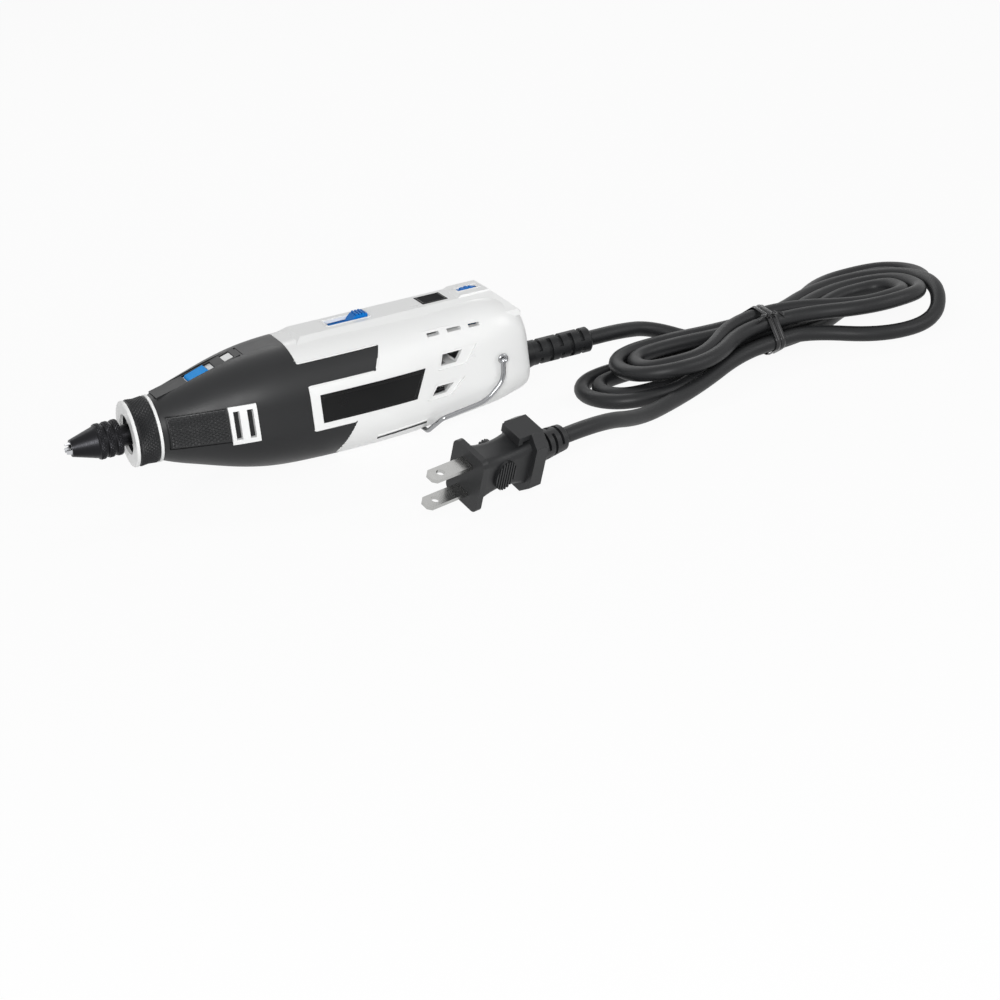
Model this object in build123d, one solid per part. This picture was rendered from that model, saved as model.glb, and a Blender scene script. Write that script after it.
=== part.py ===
from build123d import *
import os
from functools import cache
from math import acos, cos, dist, pi, radians, sin, sqrt, tan

# Corded rotary tool with its mains lead tied up in a hank.
# Millimetres. While pieces are made, X runs along the motor's axis from the front face
# of the nose ring towards the lead, Z is up and the axis is Z = 0. STAND then sets
# the finished tool on its belly, with the origin under the middle of its length.

# ---- housing -------------------------------------------------------------------------
HOUSING_START = 10.5        # front face of the housing, behind the nose cap
CONE_LENGTH = 55.5          # the nose cone swells over this length
TAPER_START = 108.0         # the rear begins to draw in here
HOUSING_END = 160.0         # rear face
NOSE_RADIUS = 12.3          # at the front face
BODY_HALF_WIDTH = 23.5
BODY_TOP = 23.1
BODY_BOTTOM = 24.9
BODY_CORNER = 19.0
BELLY = 24.5                # the flat that it rests on lies this far below the axis
WALL = 2.6
SEAM_FIT = 0.05             # between two still pieces
# rear stations: share of the tail's length, then shares of the body's sizes
TAIL_STATIONS = (
    (0.0, 1.0, 1.0, 0.995, 1.0), (0.27, 0.945, 1.0, 0.955, 0.92), (0.54, 0.92, 1.0, 0.87, 0.80),
    (0.78, 0.90, 0.975, 0.77, 0.68), (0.90, 0.845, 0.87, 0.70, 0.60), (0.965, 0.79, 0.74, 0.66, 0.55),
    (1.0, 0.68, 0.60, 0.60, 0.48))

# ---- ridge along the top, with the rear hump -------------------------------------------
RIDGE_START = 67.5
RIDGE_RUN_IN = 3.5
RIDGE_TOP = 24.2
RIDGE_HALF_WIDTH = 7.5
RIDGE_SPREAD = 1.55         # how far a flank runs out for each millimetre down
RIDGE_FOOT_HALF_WIDTH = 17.6    # the flanks meet the body here
HUMP_START = 136.8
HUMP_TOP = 25.0
HUMP_END = 150.0
HUMP_RUN_OUT = 8.0

# ---- soft grip skins, pads, frames and plates ------------------------------------------
SKIN = 1.2
SKIN_GAP = 0.15             # hairline round a skin
PAD_START = 13.0
PAD_END = 34.7
PAD_TOP = 7.0
PAD_BOTTOM = 6.0
PAD_GROOVE = 0.5
PAD_DEPTH = 0.7
PAD_PROUD = 0.2
FRAME_START = 35.2
FRAME_END = 45.6
FRAME_HALF_HEIGHT = 7.5
FRAME_PROUD = 0.4
VENT_SLOT_WIDTH = 2.3
VENT_SLOT_HEIGHT = 11.3
VENT_SLOT_PITCH = 5.1
BADGE_START = 70.5
BADGE_LENGTH = 43.5
BADGE_TOP = 5.0
BADGE_BOTTOM = 6.2
BADGE_SLANT = 5.0
BADGE_DEPTH = 0.9
BADGE_PROUD = 0.25
DISH_DEPTH = 0.7
LABEL_START = 123.0
LABEL_LENGTH = 10.5
LABEL_HALF_WIDTH = 5.0
LABEL_DEPTH = 0.5

# ---- nose cap --------------------------------------------------------------------------
SPIGOT_RADIUS = 9.5         # three-quarter inch thread for the nose cap
SPIGOT_FRONT = 2.6
CAP_RADIUS = 12.9
CAP_WAIST = 0.4             # how much the knurled collar is drawn in
CAP_THREAD_FIT = 0.08
NOSE_RING_THICKNESS = 1.2
NOSE_HOLE_RADIUS = 7.8
TRIM_RING_THICKNESS = 1.1
TRIM_RING_RADIUS = 13.1
CAP_GAP = 0.15
CAP_TRAVEL = 6.35           # three turns of a thread with twelve turns to the inch

# ---- chuck -----------------------------------------------------------------------------
CHUCK_REAR = -3.0
KNURL_LENGTH = 9.0
CHUCK_CONE_LENGTH = 10.0
CHUCK_RADIUS = 6.7
CHUCK_GROOVE = 0.55
CHUCK_TIP_RADIUS = 3.3
CHUCK_THREAD_RADIUS = 3.6
SHANK_RADIUS = 1.6          # eighth of an inch shank in the open jaws
JAW_CONE_FRONT_RADIUS = 2.6
JAW_CONE_ANGLE = 12.5
JAW_LENGTH = 10.5
JAW_PROUD = 2.0
JAW_HALF_WIDTH = 1.6
JAW_TRAVEL = 4.6
JAW_FIT = 0.15

# ---- spindle, coupler and motor --------------------------------------------------------
RUNNING_FIT = 0.04
SPINDLE_RADIUS = 4.0
SPINDLE_END = 52.0
SPINDLE_BORE_DEPTH = 22.0
FRONT_BEARING_START = 4.4
FRONT_BEARING_RADIUS = 7.5
REAR_SPINDLE_BEARING_START = 40.0
REAR_SPINDLE_BEARING_RADIUS = 9.0
BEARING_WIDTH = 5.0
COUPLER_RADIUS = 6.5
COUPLER_LENGTH = 11.0
MOTOR_SHAFT_RADIUS = 2.5
FAN_START = 60.0
FAN_WIDTH = 6.5
FAN_RADIUS = 17.5
FAN_BLADES = 12
MOTOR_FRONT_BEARING_START = 69.0
MOTOR_REAR_BEARING_START = 124.0
MOTOR_BEARING_RADIUS = 6.5
MOTOR_BEARING_WIDTH = 4.0
STATOR_START = 77.0
STATOR_LENGTH = 28.0
STATOR_RADIUS = 17.5
STATOR_RIM = 3.0
ARMATURE_RADIUS = 11.5
ARMATURE_SLOTS = 12
AIR_GAP = 0.5
POLE_HALF_ANGLE = 50.0
END_TURNS = 3.5
COMMUTATOR_START = 110.0
COMMUTATOR_LENGTH = 8.0
COMMUTATOR_RADIUS = 7.5
COMMUTATOR_BARS = 24
BRUSH_SIZE = 5.0
BRUSH_LENGTH = 6.0
BRUSH_SPRING_LENGTH = 5.0
HOLDER_WALL = 1.2

# ---- power slider and its switch -------------------------------------------------------
SLIDER_SLOT_START = 84.3
SLIDER_SLOT_LENGTH = 16.6
SLIDER_SLOT_HALF_WIDTH = 3.2
SLIDER_TRAVEL = 8.0
SLIDER_FIT = 0.3
SLIDER_PLATE_THICKNESS = 1.2
THUMB_LENGTH = 7.6
THUMB_TOP = 26.0
LINK_WIDTH = 4.0
LINK_THICKNESS = 1.4
SWITCH_START = 109.5
SWITCH_LENGTH = 12.0
SWITCH_HALF_WIDTH = 7.0
SWITCH_BOTTOM = 9.5
SWITCH_TOP = 17.0

# ---- speed dial and its board ----------------------------------------------------------
DIAL_X = 143.5
DIAL_RADIUS = 9.5
DIAL_WIDTH = 2.6
DIAL_PROUD = 0.5
DIAL_FIT = 0.35
DIAL_NOTCHES = 30
DIAL_PIN_RADIUS = 1.5
POT_RADIUS = 3.9
POT_LENGTH = 4.6
BOARD_THICKNESS = 1.6
BOARD_START = 134.2
BOARD_LENGTH = 13.3
BOARD_BOTTOM = 2.0
BOARD_TOP = 18.5

# ---- spindle lock ----------------------------------------------------------------------
LOCK_X = 30.6
LOCK_LENGTH = 8.3
LOCK_HALF_WIDTH = 3.4
LOCK_TRAVEL = 2.6
LOCK_FIT = 0.3
LOCK_PIN_RADIUS = 1.5
LOCK_SPRING_RADIUS = 2.6
LOCK_SPRING_WIRE = 0.6
CHANNEL_START = 12.0
CHANNEL_END = 48.4
CHANNEL_HALF_WIDTH = 5.0
LOCK_FLOOR = 10.2
LOCK_REST_GAP = 0.5         # from the lock pin to the spindle
BEZEL_THICKNESS = 0.8

# ---- hanging bail ----------------------------------------------------------------------
BAIL_WIRE_RADIUS = 0.9
BAIL_PIVOT_X = 146.5
BAIL_PIVOT_Z = 1.0
BAIL_HALF_WIDTH = 22.9
BAIL_CROSS_X = 114.5
BAIL_BAR_HALF = 15.5        # the bar bends up into the legs this far out
BAIL_GAP = 0.5

# ---- lead, hank and plug ---------------------------------------------------------------
CORD_RADIUS = 3.1
LEAD_DROP = 8.0             # the lead leaves this far below the axis
CLAMP_X = 143.5
CLAMP_SPREAD = 6.3          # clamp screws above and below the cord
CLAMP_THICKNESS = 2.0
BOOT_COLLAR_RADIUS = 6.6
BOOT_NECK_RADIUS = 5.0
BOOT_FLANGE_RADIUS = 6.0
BOOT_FLANGE = 3.0
BOOT_TIP_RADIUS = 5.1
BOOT_END = 193.0
BOOT_CONE = 7.5
BOOT_SLOTS = 5
CLAMP_REACH = 6.0           # the lead ends this far in front of the clamp

# ---- hank, laid out on the floor in the finished frame -----------------------------------
TIE_PLACE = (175.5, -16.0)  # middle of the hank's waist
HANK_TURN = 4.0             # degrees that the hank lies off the tool's axis
LAYER = 7.3                 # height from one layer of loops to the next
WAIST_LIFT = 2.0            # the tie passes under the waist
WAIST_SPREAD = 0.35         # the layers lie this much wider apart in the tie
# the passes through the tie, in order along the cord: how far across, and in which layer
PASSES = ((21.0, 0), (-16.0, 0), (8.5, 0), (-8.0, 0), (0.0, 0),
          (-3.8, 1), (3.8, 1), (-11.4, 1), (11.4, 1), (-26.0, 0))
# the loops between them: reach, middle, half width, then the layers going in, at the tip, coming out
FAR_LOOPS = ((98.0, 21.0, 21.0, 0, 0, 0), (89.5, 21.0, 12.5, 0, 0, 0), (64.0, -3.0, 12.0, 1, 1, 1),
             (73.0, -3.0, 21.0, 1, 1, 1), (82.0, -3.0, 30.0, 1, 1, 0))
NEAR_LOOPS = ((82.0, -5.0, 21.0, 0, 0, 0), (73.5, -5.0, 12.5, 0, 0, 0),
              (58.0, -5.5, 12.0, 1, 0.95, 0.97), (67.0, -5.5, 21.0, 1, 0.92, 0.95))
LAST_LOOP_SIDE = (44.0, -40.0)      # where the last loop comes down to the floor
LEAD_WAY = ((122.0, 0.0, 16.5), (138.0, 4.8, 13.2))
TAIL_WAY = ((140.0, -51.0, 3.3), (116.0, -57.6, 3.1), (95.0, -69.0, 5.6))
TIE_RADIUS = 0.75
TIE_GAP = 0.3
TIE_TURNS = 2
TIE_PITCH = 2.0             # from one turn of the wire to the next

# ---- plug ----------------------------------------------------------------------------------
PLUG_END = (55.0, -88.2, 14.5)      # where the cord enters the plug's boot
PLUG_TURN = 15.8            # degrees that the plug points off the tool's axis
PLUG_ROLL = -24.0          # it lies on a corner of its flange
PLUG_LENGTH = 30.0
PLUG_FACE_WIDTH = 17.5
PLUG_FACE_HEIGHT = 23.4
PLUG_FACE_THICKNESS = 2.5
PLUG_WAIST_WIDTH = 12.4
PLUG_WAIST_HEIGHT = 15.6
PLUG_FLANGE_WIDTH = 19.0
PLUG_FLANGE_HEIGHT = 27.0
PLUG_FLANGE_THICKNESS = 5.5
PLUG_FLANGE_CORNER = 4.5
PLUG_LIP = 5.5
PLUG_BOOT_LENGTH = 16.0
PLUG_BOOT_RADIUS = 6.3
PLUG_BOOT_TIP_RADIUS = 5.0
PLUG_BOOT_SLOTS = 4
PLUG_PITCH = 12.7
BLADE_WIDTH = 6.3
BLADE_THICKNESS = 1.5
BLADE_LENGTH = 17.5
BLADE_ROOT = 8.0            # how deep the blades sit in the plug
BLADE_HOLE_RADIUS = 1.55
BLADE_HOLE_FROM_TIP = 5.0

# ---- screws ----------------------------------------------------------------------------
SCREW_PLACES = ((54.0, 14.5), (54.0, -15.0), (120.5, -16.5), (130.6, 13.5), (151.8, 3.0))
SCREW_RADIUS = 1.5
SCREW_HEAD_RADIUS = 2.8
SCREW_HEAD_HEIGHT = 2.0
BOSS_RADIUS = 3.2
BOSS_REACH = 6.0            # how far a screw bites past the seam

FRONT = CHUCK_REAR - KNURL_LENGTH - CHUCK_CONE_LENGTH - JAW_PROUD
MIDDLE = (FRONT + BOOT_END) / 2
STAND = Pos(-MIDDLE, 0, BELLY)
FAR = 300.0                 # longer than any cut needs


# ---- helpers -----------------------------------------------------------------------------
def along_x(start, length, radius, y=0.0, z=0.0):
    """A round bar along X."""
    return Pos(start + length / 2, y, z) * Rot(0, 90, 0) * Cylinder(radius, length)


def tube_x(start, length, outer, inner, y=0.0, z=0.0):
    return along_x(start, length, outer, y, z) - along_x(start - 1, length + 2, inner, y, z)


def along_y(x, z, radius, y_from, y_to):
    """A round bar along Y."""
    return Pos(x, (y_from + y_to) / 2, z) * Rot(90, 0, 0) * Cylinder(radius, abs(y_to - y_from))


def block(x_from, x_to, y_from, y_to, z_from, z_to):
    """A box between two corners."""
    centre = ((x_from + x_to) / 2, (y_from + y_to) / 2, (z_from + z_to) / 2)
    return Pos(*centre) * Box(x_to - x_from, y_to - y_from, z_to - z_from)


def spin(points):
    """A solid of revolution about X from (x, radius) points."""
    outline = Plane.XZ * make_face(Polyline(*points, close=True).edges())
    return revolve(outline, Axis.X, 360)


def side_prism(points, y_from, y_to):
    """An outline of (x, z) points, run along Y."""
    outline = Plane((0, y_to, 0), x_dir=(1, 0, 0), z_dir=(0, -1, 0)) * make_face(
        Polyline(*points, close=True).edges())
    return extrude(outline, y_to - y_from)


def left_half(shape):
    return shape & block(-FAR, FAR, -FAR, 0, -FAR, FAR)


def right_half(shape):
    return shape & block(-FAR, FAR, 0, FAR, -FAR, FAR)


def join(shapes):
    """One shape from many."""
    joined = shapes[0]
    for shape in shapes[1:]:
        joined += shape
    return joined


# ---- housing form ------------------------------------------------------------------------
def station(x, half_width, top, bottom, corner, inset):
    plane = Plane((x, 0, (top - bottom) / 2), x_dir=(0, 1, 0), z_dir=(1, 0, 0))
    return plane * RectangleRounded(2 * (half_width - inset), top + bottom - 2 * inset, corner - inset)


@cache
def form(inset):
    """The smooth outer form, drawn in by an inset all round."""
    stations = []
    for share in (0.0, 0.25, 0.5, 0.75, 1.0):
        swell = sin(pi / 2 * share)
        half_width = NOSE_RADIUS + (BODY_HALF_WIDTH - NOSE_RADIUS) * swell
        top = NOSE_RADIUS + (BODY_TOP - NOSE_RADIUS) * swell
        bottom = NOSE_RADIUS + 0.1 + (BODY_BOTTOM - NOSE_RADIUS - 0.1) * swell
        corner = NOSE_RADIUS - 0.15 + (BODY_CORNER - NOSE_RADIUS + 0.15) * swell
        stations.append(station(HOUSING_START + CONE_LENGTH * share, half_width, top, bottom, corner, inset))
    tail = HOUSING_END - TAPER_START
    for share, wide, high, low, round_share in TAIL_STATIONS:
        stations.append(station(TAPER_START + tail * share, BODY_HALF_WIDTH * wide, BODY_TOP * high,
                                BODY_BOTTOM * low, BODY_CORNER * round_share, inset))
    return loft(stations)


def ridge():
    """The raised strip along the top that carries the controls, and the hump behind it."""
    foot = 15.0
    side = [(RIDGE_START, foot), (RIDGE_START, RIDGE_TOP - RIDGE_RUN_IN + 1.2),
            (RIDGE_START + RIDGE_RUN_IN, RIDGE_TOP), (HUMP_START, RIDGE_TOP),
            (HUMP_START + 1.4, HUMP_TOP), (HUMP_END, HUMP_TOP),
            (HUMP_END + HUMP_RUN_OUT, HUMP_TOP - HUMP_RUN_OUT), (HUMP_END + HUMP_RUN_OUT, foot)]
    top_half = RIDGE_HALF_WIDTH - (HUMP_TOP - RIDGE_TOP) * RIDGE_SPREAD * 0.4
    foot_half = RIDGE_FOOT_HALF_WIDTH
    flank_foot = RIDGE_TOP - (foot_half - RIDGE_HALF_WIDTH) / RIDGE_SPREAD
    across = Plane((RIDGE_START - 1, 0, 0), x_dir=(0, 1, 0), z_dir=(1, 0, 0)) * make_face(Polyline(
        (-foot_half, foot), (-foot_half, flank_foot), (-RIDGE_HALF_WIDTH, RIDGE_TOP), (-top_half, HUMP_TOP + 1),
        (top_half, HUMP_TOP + 1), (RIDGE_HALF_WIDTH, RIDGE_TOP), (foot_half, flank_foot), (foot_half, foot),
        close=True).edges())
    return extrude(across, HOUSING_END - RIDGE_START) & side_prism(side, -FAR / 2, FAR / 2)


def outer_form():
    below_belly = block(-FAR, FAR, -FAR, FAR, -FAR, -BELLY)
    return form(0) + (ridge() & form(-3)) - below_belly


# ---- outlines seen from the side -----------------------------------------------------------
GRIP_NOTCH_TOP = 9.0        # the white badge panel reaches this far up and down
GRIP_NOTCH_BOTTOM = -8.6
GRIP_NOTCH_START = 66.6
GRIP_ARM_END = 96.0
GRIP_ARM_TOP = 17.5


def grip_outline(gap):
    """The soft skin from the nose to the prow, with an arm above the badge panel."""
    return [(HOUSING_START + gap, -FAR / 8), (75.5 - gap, -FAR / 8), (78.0 - gap, -19.0),
            (84.0 - gap, GRIP_NOTCH_BOTTOM - gap), (GRIP_NOTCH_START - gap, GRIP_NOTCH_BOTTOM - gap),
            (GRIP_NOTCH_START - gap, GRIP_NOTCH_TOP + gap), (GRIP_ARM_END - 2 - gap, GRIP_NOTCH_TOP + gap),
            (GRIP_ARM_END + 2 - gap, GRIP_ARM_TOP - gap), (64.8 - gap, GRIP_ARM_TOP - gap), (61.5 - gap, FAR / 8),
            (HOUSING_START + gap, FAR / 8)]


def pad_outline(gap):
    return [(PAD_START - gap, -PAD_BOTTOM + 0.6 - gap), (PAD_END + gap, -PAD_BOTTOM - gap),
            (PAD_END + gap, PAD_TOP + gap), (PAD_START - gap, PAD_TOP - 0.2 + gap)]


def badge_outline(gap):
    end = BADGE_START + BADGE_LENGTH
    return [(BADGE_START - gap, -BADGE_BOTTOM - gap), (end - BADGE_SLANT + gap, -BADGE_BOTTOM - gap),
            (end + gap * 1.6, BADGE_TOP + gap), (BADGE_START - gap, BADGE_TOP + gap)]


def frame_outline(gap):
    return [(FRAME_START - gap, -FRAME_HALF_HEIGHT - gap), (FRAME_END + gap, -FRAME_HALF_HEIGHT - gap),
            (FRAME_END + gap, FRAME_HALF_HEIGHT + gap), (FRAME_START - gap, FRAME_HALF_HEIGHT + gap)]


def vent_slots():
    """Two upright air slots in each side of the nose."""
    middle = (FRAME_START + FRAME_END) / 2
    slots = []
    for side in (-1, 1):
        x = middle + side * VENT_SLOT_PITCH / 2
        slots.append(block(x - VENT_SLOT_WIDTH / 2, x + VENT_SLOT_WIDTH / 2, -BODY_HALF_WIDTH - 5,
                           BODY_HALF_WIDTH + 5, -VENT_SLOT_HEIGHT / 2, VENT_SLOT_HEIGHT / 2))
    return slots[0] + slots[1]


def channel():
    """The sunk channel down the top of the nose, for the spindle lock."""
    floor = channel_floor(0)
    outline = [(floor[0][0], FAR / 8)] + floor + [(floor[-1][0], FAR / 8)]
    return side_prism(outline, -CHANNEL_HALF_WIDTH, CHANNEL_HALF_WIDTH)


def channel_floor(lift):
    """The floor line of the channel, lifted by this much."""
    return [(CHANNEL_START, 12.1 + lift), (26.0, 15.4 + lift), (36.0, 18.1 + lift), (CHANNEL_END, 21.5 + lift)]


def channel_bed():
    """More wall under the channel, and the shelf that guides the lock pin."""
    floor = channel_floor(-2.0)
    outline = [(floor[0][0], FAR / 8)] + floor + [(floor[-1][0], FAR / 8)]
    half = CHANNEL_HALF_WIDTH + 1.5
    bed = side_prism(outline, -half, half)
    shelf = block(LOCK_X - 5.5, LOCK_X + 5.5, -half, half, LOCK_FLOOR - 2, FAR / 8)
    return (bed + shelf) & form(WALL / 2)


def rear_vents():
    """Two wedge-shaped air holes and three short slots high up, through both sides."""
    upper = [(121.0, 3.9), (127.6, 3.9), (130.7, 8.2), (122.3, 8.2)]
    lower = [(115.8, -7.2), (121.9, -7.0), (125.8, -3.9), (118.4, -3.9)]
    reach = BODY_HALF_WIDTH + 5
    vents = side_prism(upper, -reach, reach) + side_prism(lower, -reach, reach)
    for start, end in ((118.0, 123.0), (126.4, 132.0), (135.2, 139.6)):
        vents += block(start, end, -reach, reach, 15.6, 16.9)
    return vents


def vent_dishes():
    """Shallow slanted dishes round the two wedge-shaped holes."""
    upper = [(119.4, 2.4), (131.6, 2.4), (136.8, 9.4), (121.6, 9.4)]
    lower = [(113.6, -8.6), (123.6, -8.4), (130.2, -2.6), (117.6, -2.6)]
    reach = FAR / 2
    return skin_band(DISH_DEPTH, 1.0) & (side_prism(upper, -reach, reach) + side_prism(lower, -reach, reach))


# ---- housing halves ---------------------------------------------------------------------------
CAVITY_START = 13.5
CAVITY_END = HOUSING_END - 6.4
LINK_BOTTOM = STATOR_RADIUS + 1.1
STATOR_SEATS = (STATOR_START + 1.0, STATOR_START + STATOR_LENGTH - 4.0)
SEAT_WIDTH = 3.0
WIRE_WAY = (-12.0, -8.0)    # where the wires pass the rear bearing's rib


def seat(start, width, bore):
    """A rib across the hollow with a bore that holds a bearing or the stator."""
    rib = form(WALL / 2) & block(start, start + width, -FAR, FAR, -FAR, FAR)
    return rib - along_x(start - 1, width + 2, bore)


def inner_ribs():
    ribs = seat(REAR_SPINDLE_BEARING_START, BEARING_WIDTH, REAR_SPINDLE_BEARING_RADIUS + SEAM_FIT)
    ribs += seat(MOTOR_FRONT_BEARING_START, MOTOR_BEARING_WIDTH, MOTOR_BEARING_RADIUS + SEAM_FIT)
    ribs += seat(MOTOR_REAR_BEARING_START, MOTOR_BEARING_WIDTH, MOTOR_BEARING_RADIUS + SEAM_FIT)
    for start in STATOR_SEATS:
        ribs += seat(start, SEAT_WIDTH, STATOR_RADIUS + SEAM_FIT)
    return ribs


def bosses():
    """Posts along Y that the housing screws run through."""
    posts = []
    for x, z in SCREW_PLACES:
        posts.append(along_y(x, z, BOSS_RADIUS, -BODY_HALF_WIDTH, BODY_HALF_WIDTH))
    return join(posts) & form(WALL / 2)


def screw_holes():
    holes = []
    for x, z in SCREW_PLACES:
        head_face = screw_head_face(x)
        holes.append(along_y(x, z, SCREW_RADIUS, -BOSS_REACH, head_face))
        holes.append(along_y(x, z, SCREW_HEAD_RADIUS + 0.3, head_face - SCREW_HEAD_HEIGHT, FAR / 8))
    return join(holes)


def screw_head_face(x):
    """How far out from the seam the screw heads' outer faces lie."""
    return 11.0 if x < 100 else 12.0


def dial_well():
    """The space round the thumbwheel, with its slot in the hump."""
    y = DIAL_WIDTH / 2 + DIAL_FIT
    return along_y(DIAL_X, dial_z(), DIAL_RADIUS + DIAL_FIT, -y, y)


def dial_z():
    return HUMP_TOP + DIAL_PROUD - DIAL_RADIUS


def slider_hollow():
    """The pocket that the slider's plate runs in, and its slot."""
    end = SLIDER_SLOT_START + SLIDER_SLOT_LENGTH
    top = RIDGE_TOP - SKIN
    room = SLIDER_TRAVEL + 1.2
    half = SLIDER_SLOT_HALF_WIDTH + 1.2 + SLIDER_FIT
    plate = block(SLIDER_SLOT_START - room, end + room, -half, half,
                  top - SLIDER_PLATE_THICKNESS - 2 * SLIDER_FIT, top)
    slot = block(SLIDER_SLOT_START, end, -SLIDER_SLOT_HALF_WIDTH, SLIDER_SLOT_HALF_WIDTH, top - 1, FAR / 8)
    link_gap = block(end - THUMB_LENGTH - SLIDER_TRAVEL, end, -LINK_WIDTH / 2 - SLIDER_FIT,
                     LINK_WIDTH / 2 + SLIDER_FIT, LINK_BOTTOM - SLIDER_FIT, top)
    return plate + slot + link_gap


def link_way():
    """A notch in the ribs that the switch link slides through."""
    return block(70, 123, -LINK_WIDTH / 2 - SLIDER_FIT, LINK_WIDTH / 2 + SLIDER_FIT,
                 LINK_BOTTOM - SLIDER_FIT, LINK_BOTTOM + LINK_THICKNESS + SLIDER_FIT)


def lock_hollow():
    """The hole that the lock button and its pin go down."""
    half = LOCK_LENGTH / 2 + LOCK_FIT
    well = block(LOCK_X - half, LOCK_X + half, -LOCK_HALF_WIDTH - LOCK_FIT, LOCK_HALF_WIDTH + LOCK_FIT,
                 LOCK_FLOOR, FAR / 8)
    return well + Pos(LOCK_X, 0, LOCK_FLOOR / 2) * Cylinder(LOCK_PIN_RADIUS + LOCK_FIT, LOCK_FLOOR + 1)


def bail_hollow():
    """Two side sockets for the bail's ends and a groove across the belly for its bar."""
    socket = along_y(BAIL_PIVOT_X, BAIL_PIVOT_Z, BAIL_WIRE_RADIUS + RUNNING_FIT, -FAR / 8, FAR / 8)
    groove = block(BAIL_CROSS_X - 2.5, BAIL_CROSS_X + 5, -FAR / 8, FAR / 8, -FAR / 8, bail_bar_z() + 1.6)
    return socket, groove


def bail_bar_z():
    return -BELLY + BAIL_WIRE_RADIUS + BAIL_GAP


def whole_shell():
    """Both housing halves as one, before they are parted along the seam."""
    hollow = form(WALL) & block(CAVITY_START, CAVITY_END, -FAR, FAR, -FAR, FAR)
    sockets, groove = bail_hollow()
    floor_patch = form(0) & block(BAIL_CROSS_X - 4.5, BAIL_CROSS_X + 7, -20, 20, -BELLY, bail_bar_z() + 4.2)
    hubs = along_y(BAIL_PIVOT_X, BAIL_PIVOT_Z, 3.0, -BODY_HALF_WIDTH, BODY_HALF_WIDTH) & form(WALL / 2)
    hubs -= block(-FAR, FAR, -BAIL_HALF_WIDTH + 6, BAIL_HALF_WIDTH - 6, -FAR, FAR)
    switch_post = form(WALL / 2) & block(SWITCH_START + 4, SWITCH_START + 7, -FAR, FAR, 10.5, 15.5)
    switch_post -= block(SWITCH_START, SWITCH_START + 20, -SWITCH_HALF_WIDTH - SEAM_FIT,
                         SWITCH_HALF_WIDTH + SEAM_FIT, 0, 20)
    shell = outer_form() - hollow
    shell += along_x(SPIGOT_FRONT, HOUSING_START - SPIGOT_FRONT + 1, SPIGOT_RADIUS)
    shell += inner_ribs()
    shell += bosses()
    shell += floor_patch
    shell += hubs
    shell += switch_post
    shell += board_pads()
    shell -= along_x(MOTOR_REAR_BEARING_START - 1, MOTOR_BEARING_WIDTH + 2, 2.6, y=WIRE_WAY[0], z=WIRE_WAY[1])
    shell += channel_bed()
    shell -= along_x(SPIGOT_FRONT - 1, CAVITY_START + 2, SPINDLE_RADIUS + 1.2)
    shell -= along_x(FRONT_BEARING_START, BEARING_WIDTH, FRONT_BEARING_RADIUS + SEAM_FIT)
    shell -= along_x(CAVITY_END - 1, 10, BOOT_NECK_RADIUS + SEAM_FIT, z=-LEAD_DROP)
    for cut in (vent_slots(), rear_vents(), screw_holes(), dial_well(), slider_hollow(), link_way(),
                lock_hollow(), sockets, groove, channel()):
        shell -= cut
    return shell


def skin_band(depth, proud=0.0):
    """A layer of the outer form, this deep."""
    return form(-proud) - form(depth)


@cache
def dressed_shell():
    """The shell with room for the skins, badges and label let into it."""
    shell = whole_shell()
    skin_room = skin_band(SKIN, 1.0) & side_prism(grip_outline(0), -FAR / 2, FAR / 2)
    badge_room = skin_band(BADGE_DEPTH + SEAM_FIT, 1.0) & side_prism(badge_outline(SEAM_FIT), -FAR / 2, FAR / 2)
    label_room = block(LABEL_START - SEAM_FIT, LABEL_START + LABEL_LENGTH + SEAM_FIT,
                       -LABEL_HALF_WIDTH - SEAM_FIT, LABEL_HALF_WIDTH + SEAM_FIT,
                       RIDGE_TOP - LABEL_DEPTH, RIDGE_TOP + 1)
    for room in (skin_room, badge_room, label_room, vent_dishes()):
        shell -= room
    return shell


def clamp_posts():
    """Two posts in the left half that the cord clamp screws into."""
    posts = []
    for z in (-LEAD_DROP - CLAMP_SPREAD, -LEAD_DROP + CLAMP_SPREAD):
        post = along_y(CLAMP_X, z, 2.6, -BODY_HALF_WIDTH, CORD_RADIUS) & form(WALL / 2)
        posts.append(post - along_y(CLAMP_X, z, SCREW_RADIUS - 0.4, -8, FAR / 8))
    saddle = block(CLAMP_X - 2.5, CLAMP_X + 2.5, -BODY_HALF_WIDTH, -CORD_RADIUS + 1.2,
                   -LEAD_DROP - 3, -LEAD_DROP + 3) & form(WALL / 2)
    saddle -= along_x(CLAMP_X - 5, 10, CORD_RADIUS + SEAM_FIT, z=-LEAD_DROP)
    return join(posts) + saddle


def housing_left():
    return left_half(dressed_shell()) + clamp_posts()


def housing_right():
    return right_half(dressed_shell())


# ---- skins, pads, frames, plates -------------------------------------------------------------
@cache
def whole_skin():
    skin = skin_band(SKIN) & side_prism(grip_outline(SKIN_GAP), -FAR / 2, FAR / 2)
    pad_room = skin_band(PAD_DEPTH, 1.0) & side_prism(pad_outline(PAD_GROOVE), -FAR / 2, FAR / 2)
    frame_room = side_prism(frame_outline(SEAM_FIT), -FAR / 2, FAR / 2)
    off_floor = block(-FAR, FAR, -FAR, FAR, -FAR, SEAM_FIT - BELLY)
    for cut in (pad_room, frame_room, channel(), screw_holes(), ridge(), off_floor):
        skin -= cut
    return skin


def side_pads():
    return skin_band(PAD_DEPTH, PAD_PROUD) & side_prism(pad_outline(0), -FAR / 2, FAR / 2)


def vent_frames():
    plates = skin_band(SKIN, FRAME_PROUD) & side_prism(frame_outline(0), -FAR / 2, FAR / 2)
    return plates - vent_slots()


def badges():
    return skin_band(BADGE_DEPTH, BADGE_PROUD) & side_prism(badge_outline(0), -FAR / 2, FAR / 2)


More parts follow.
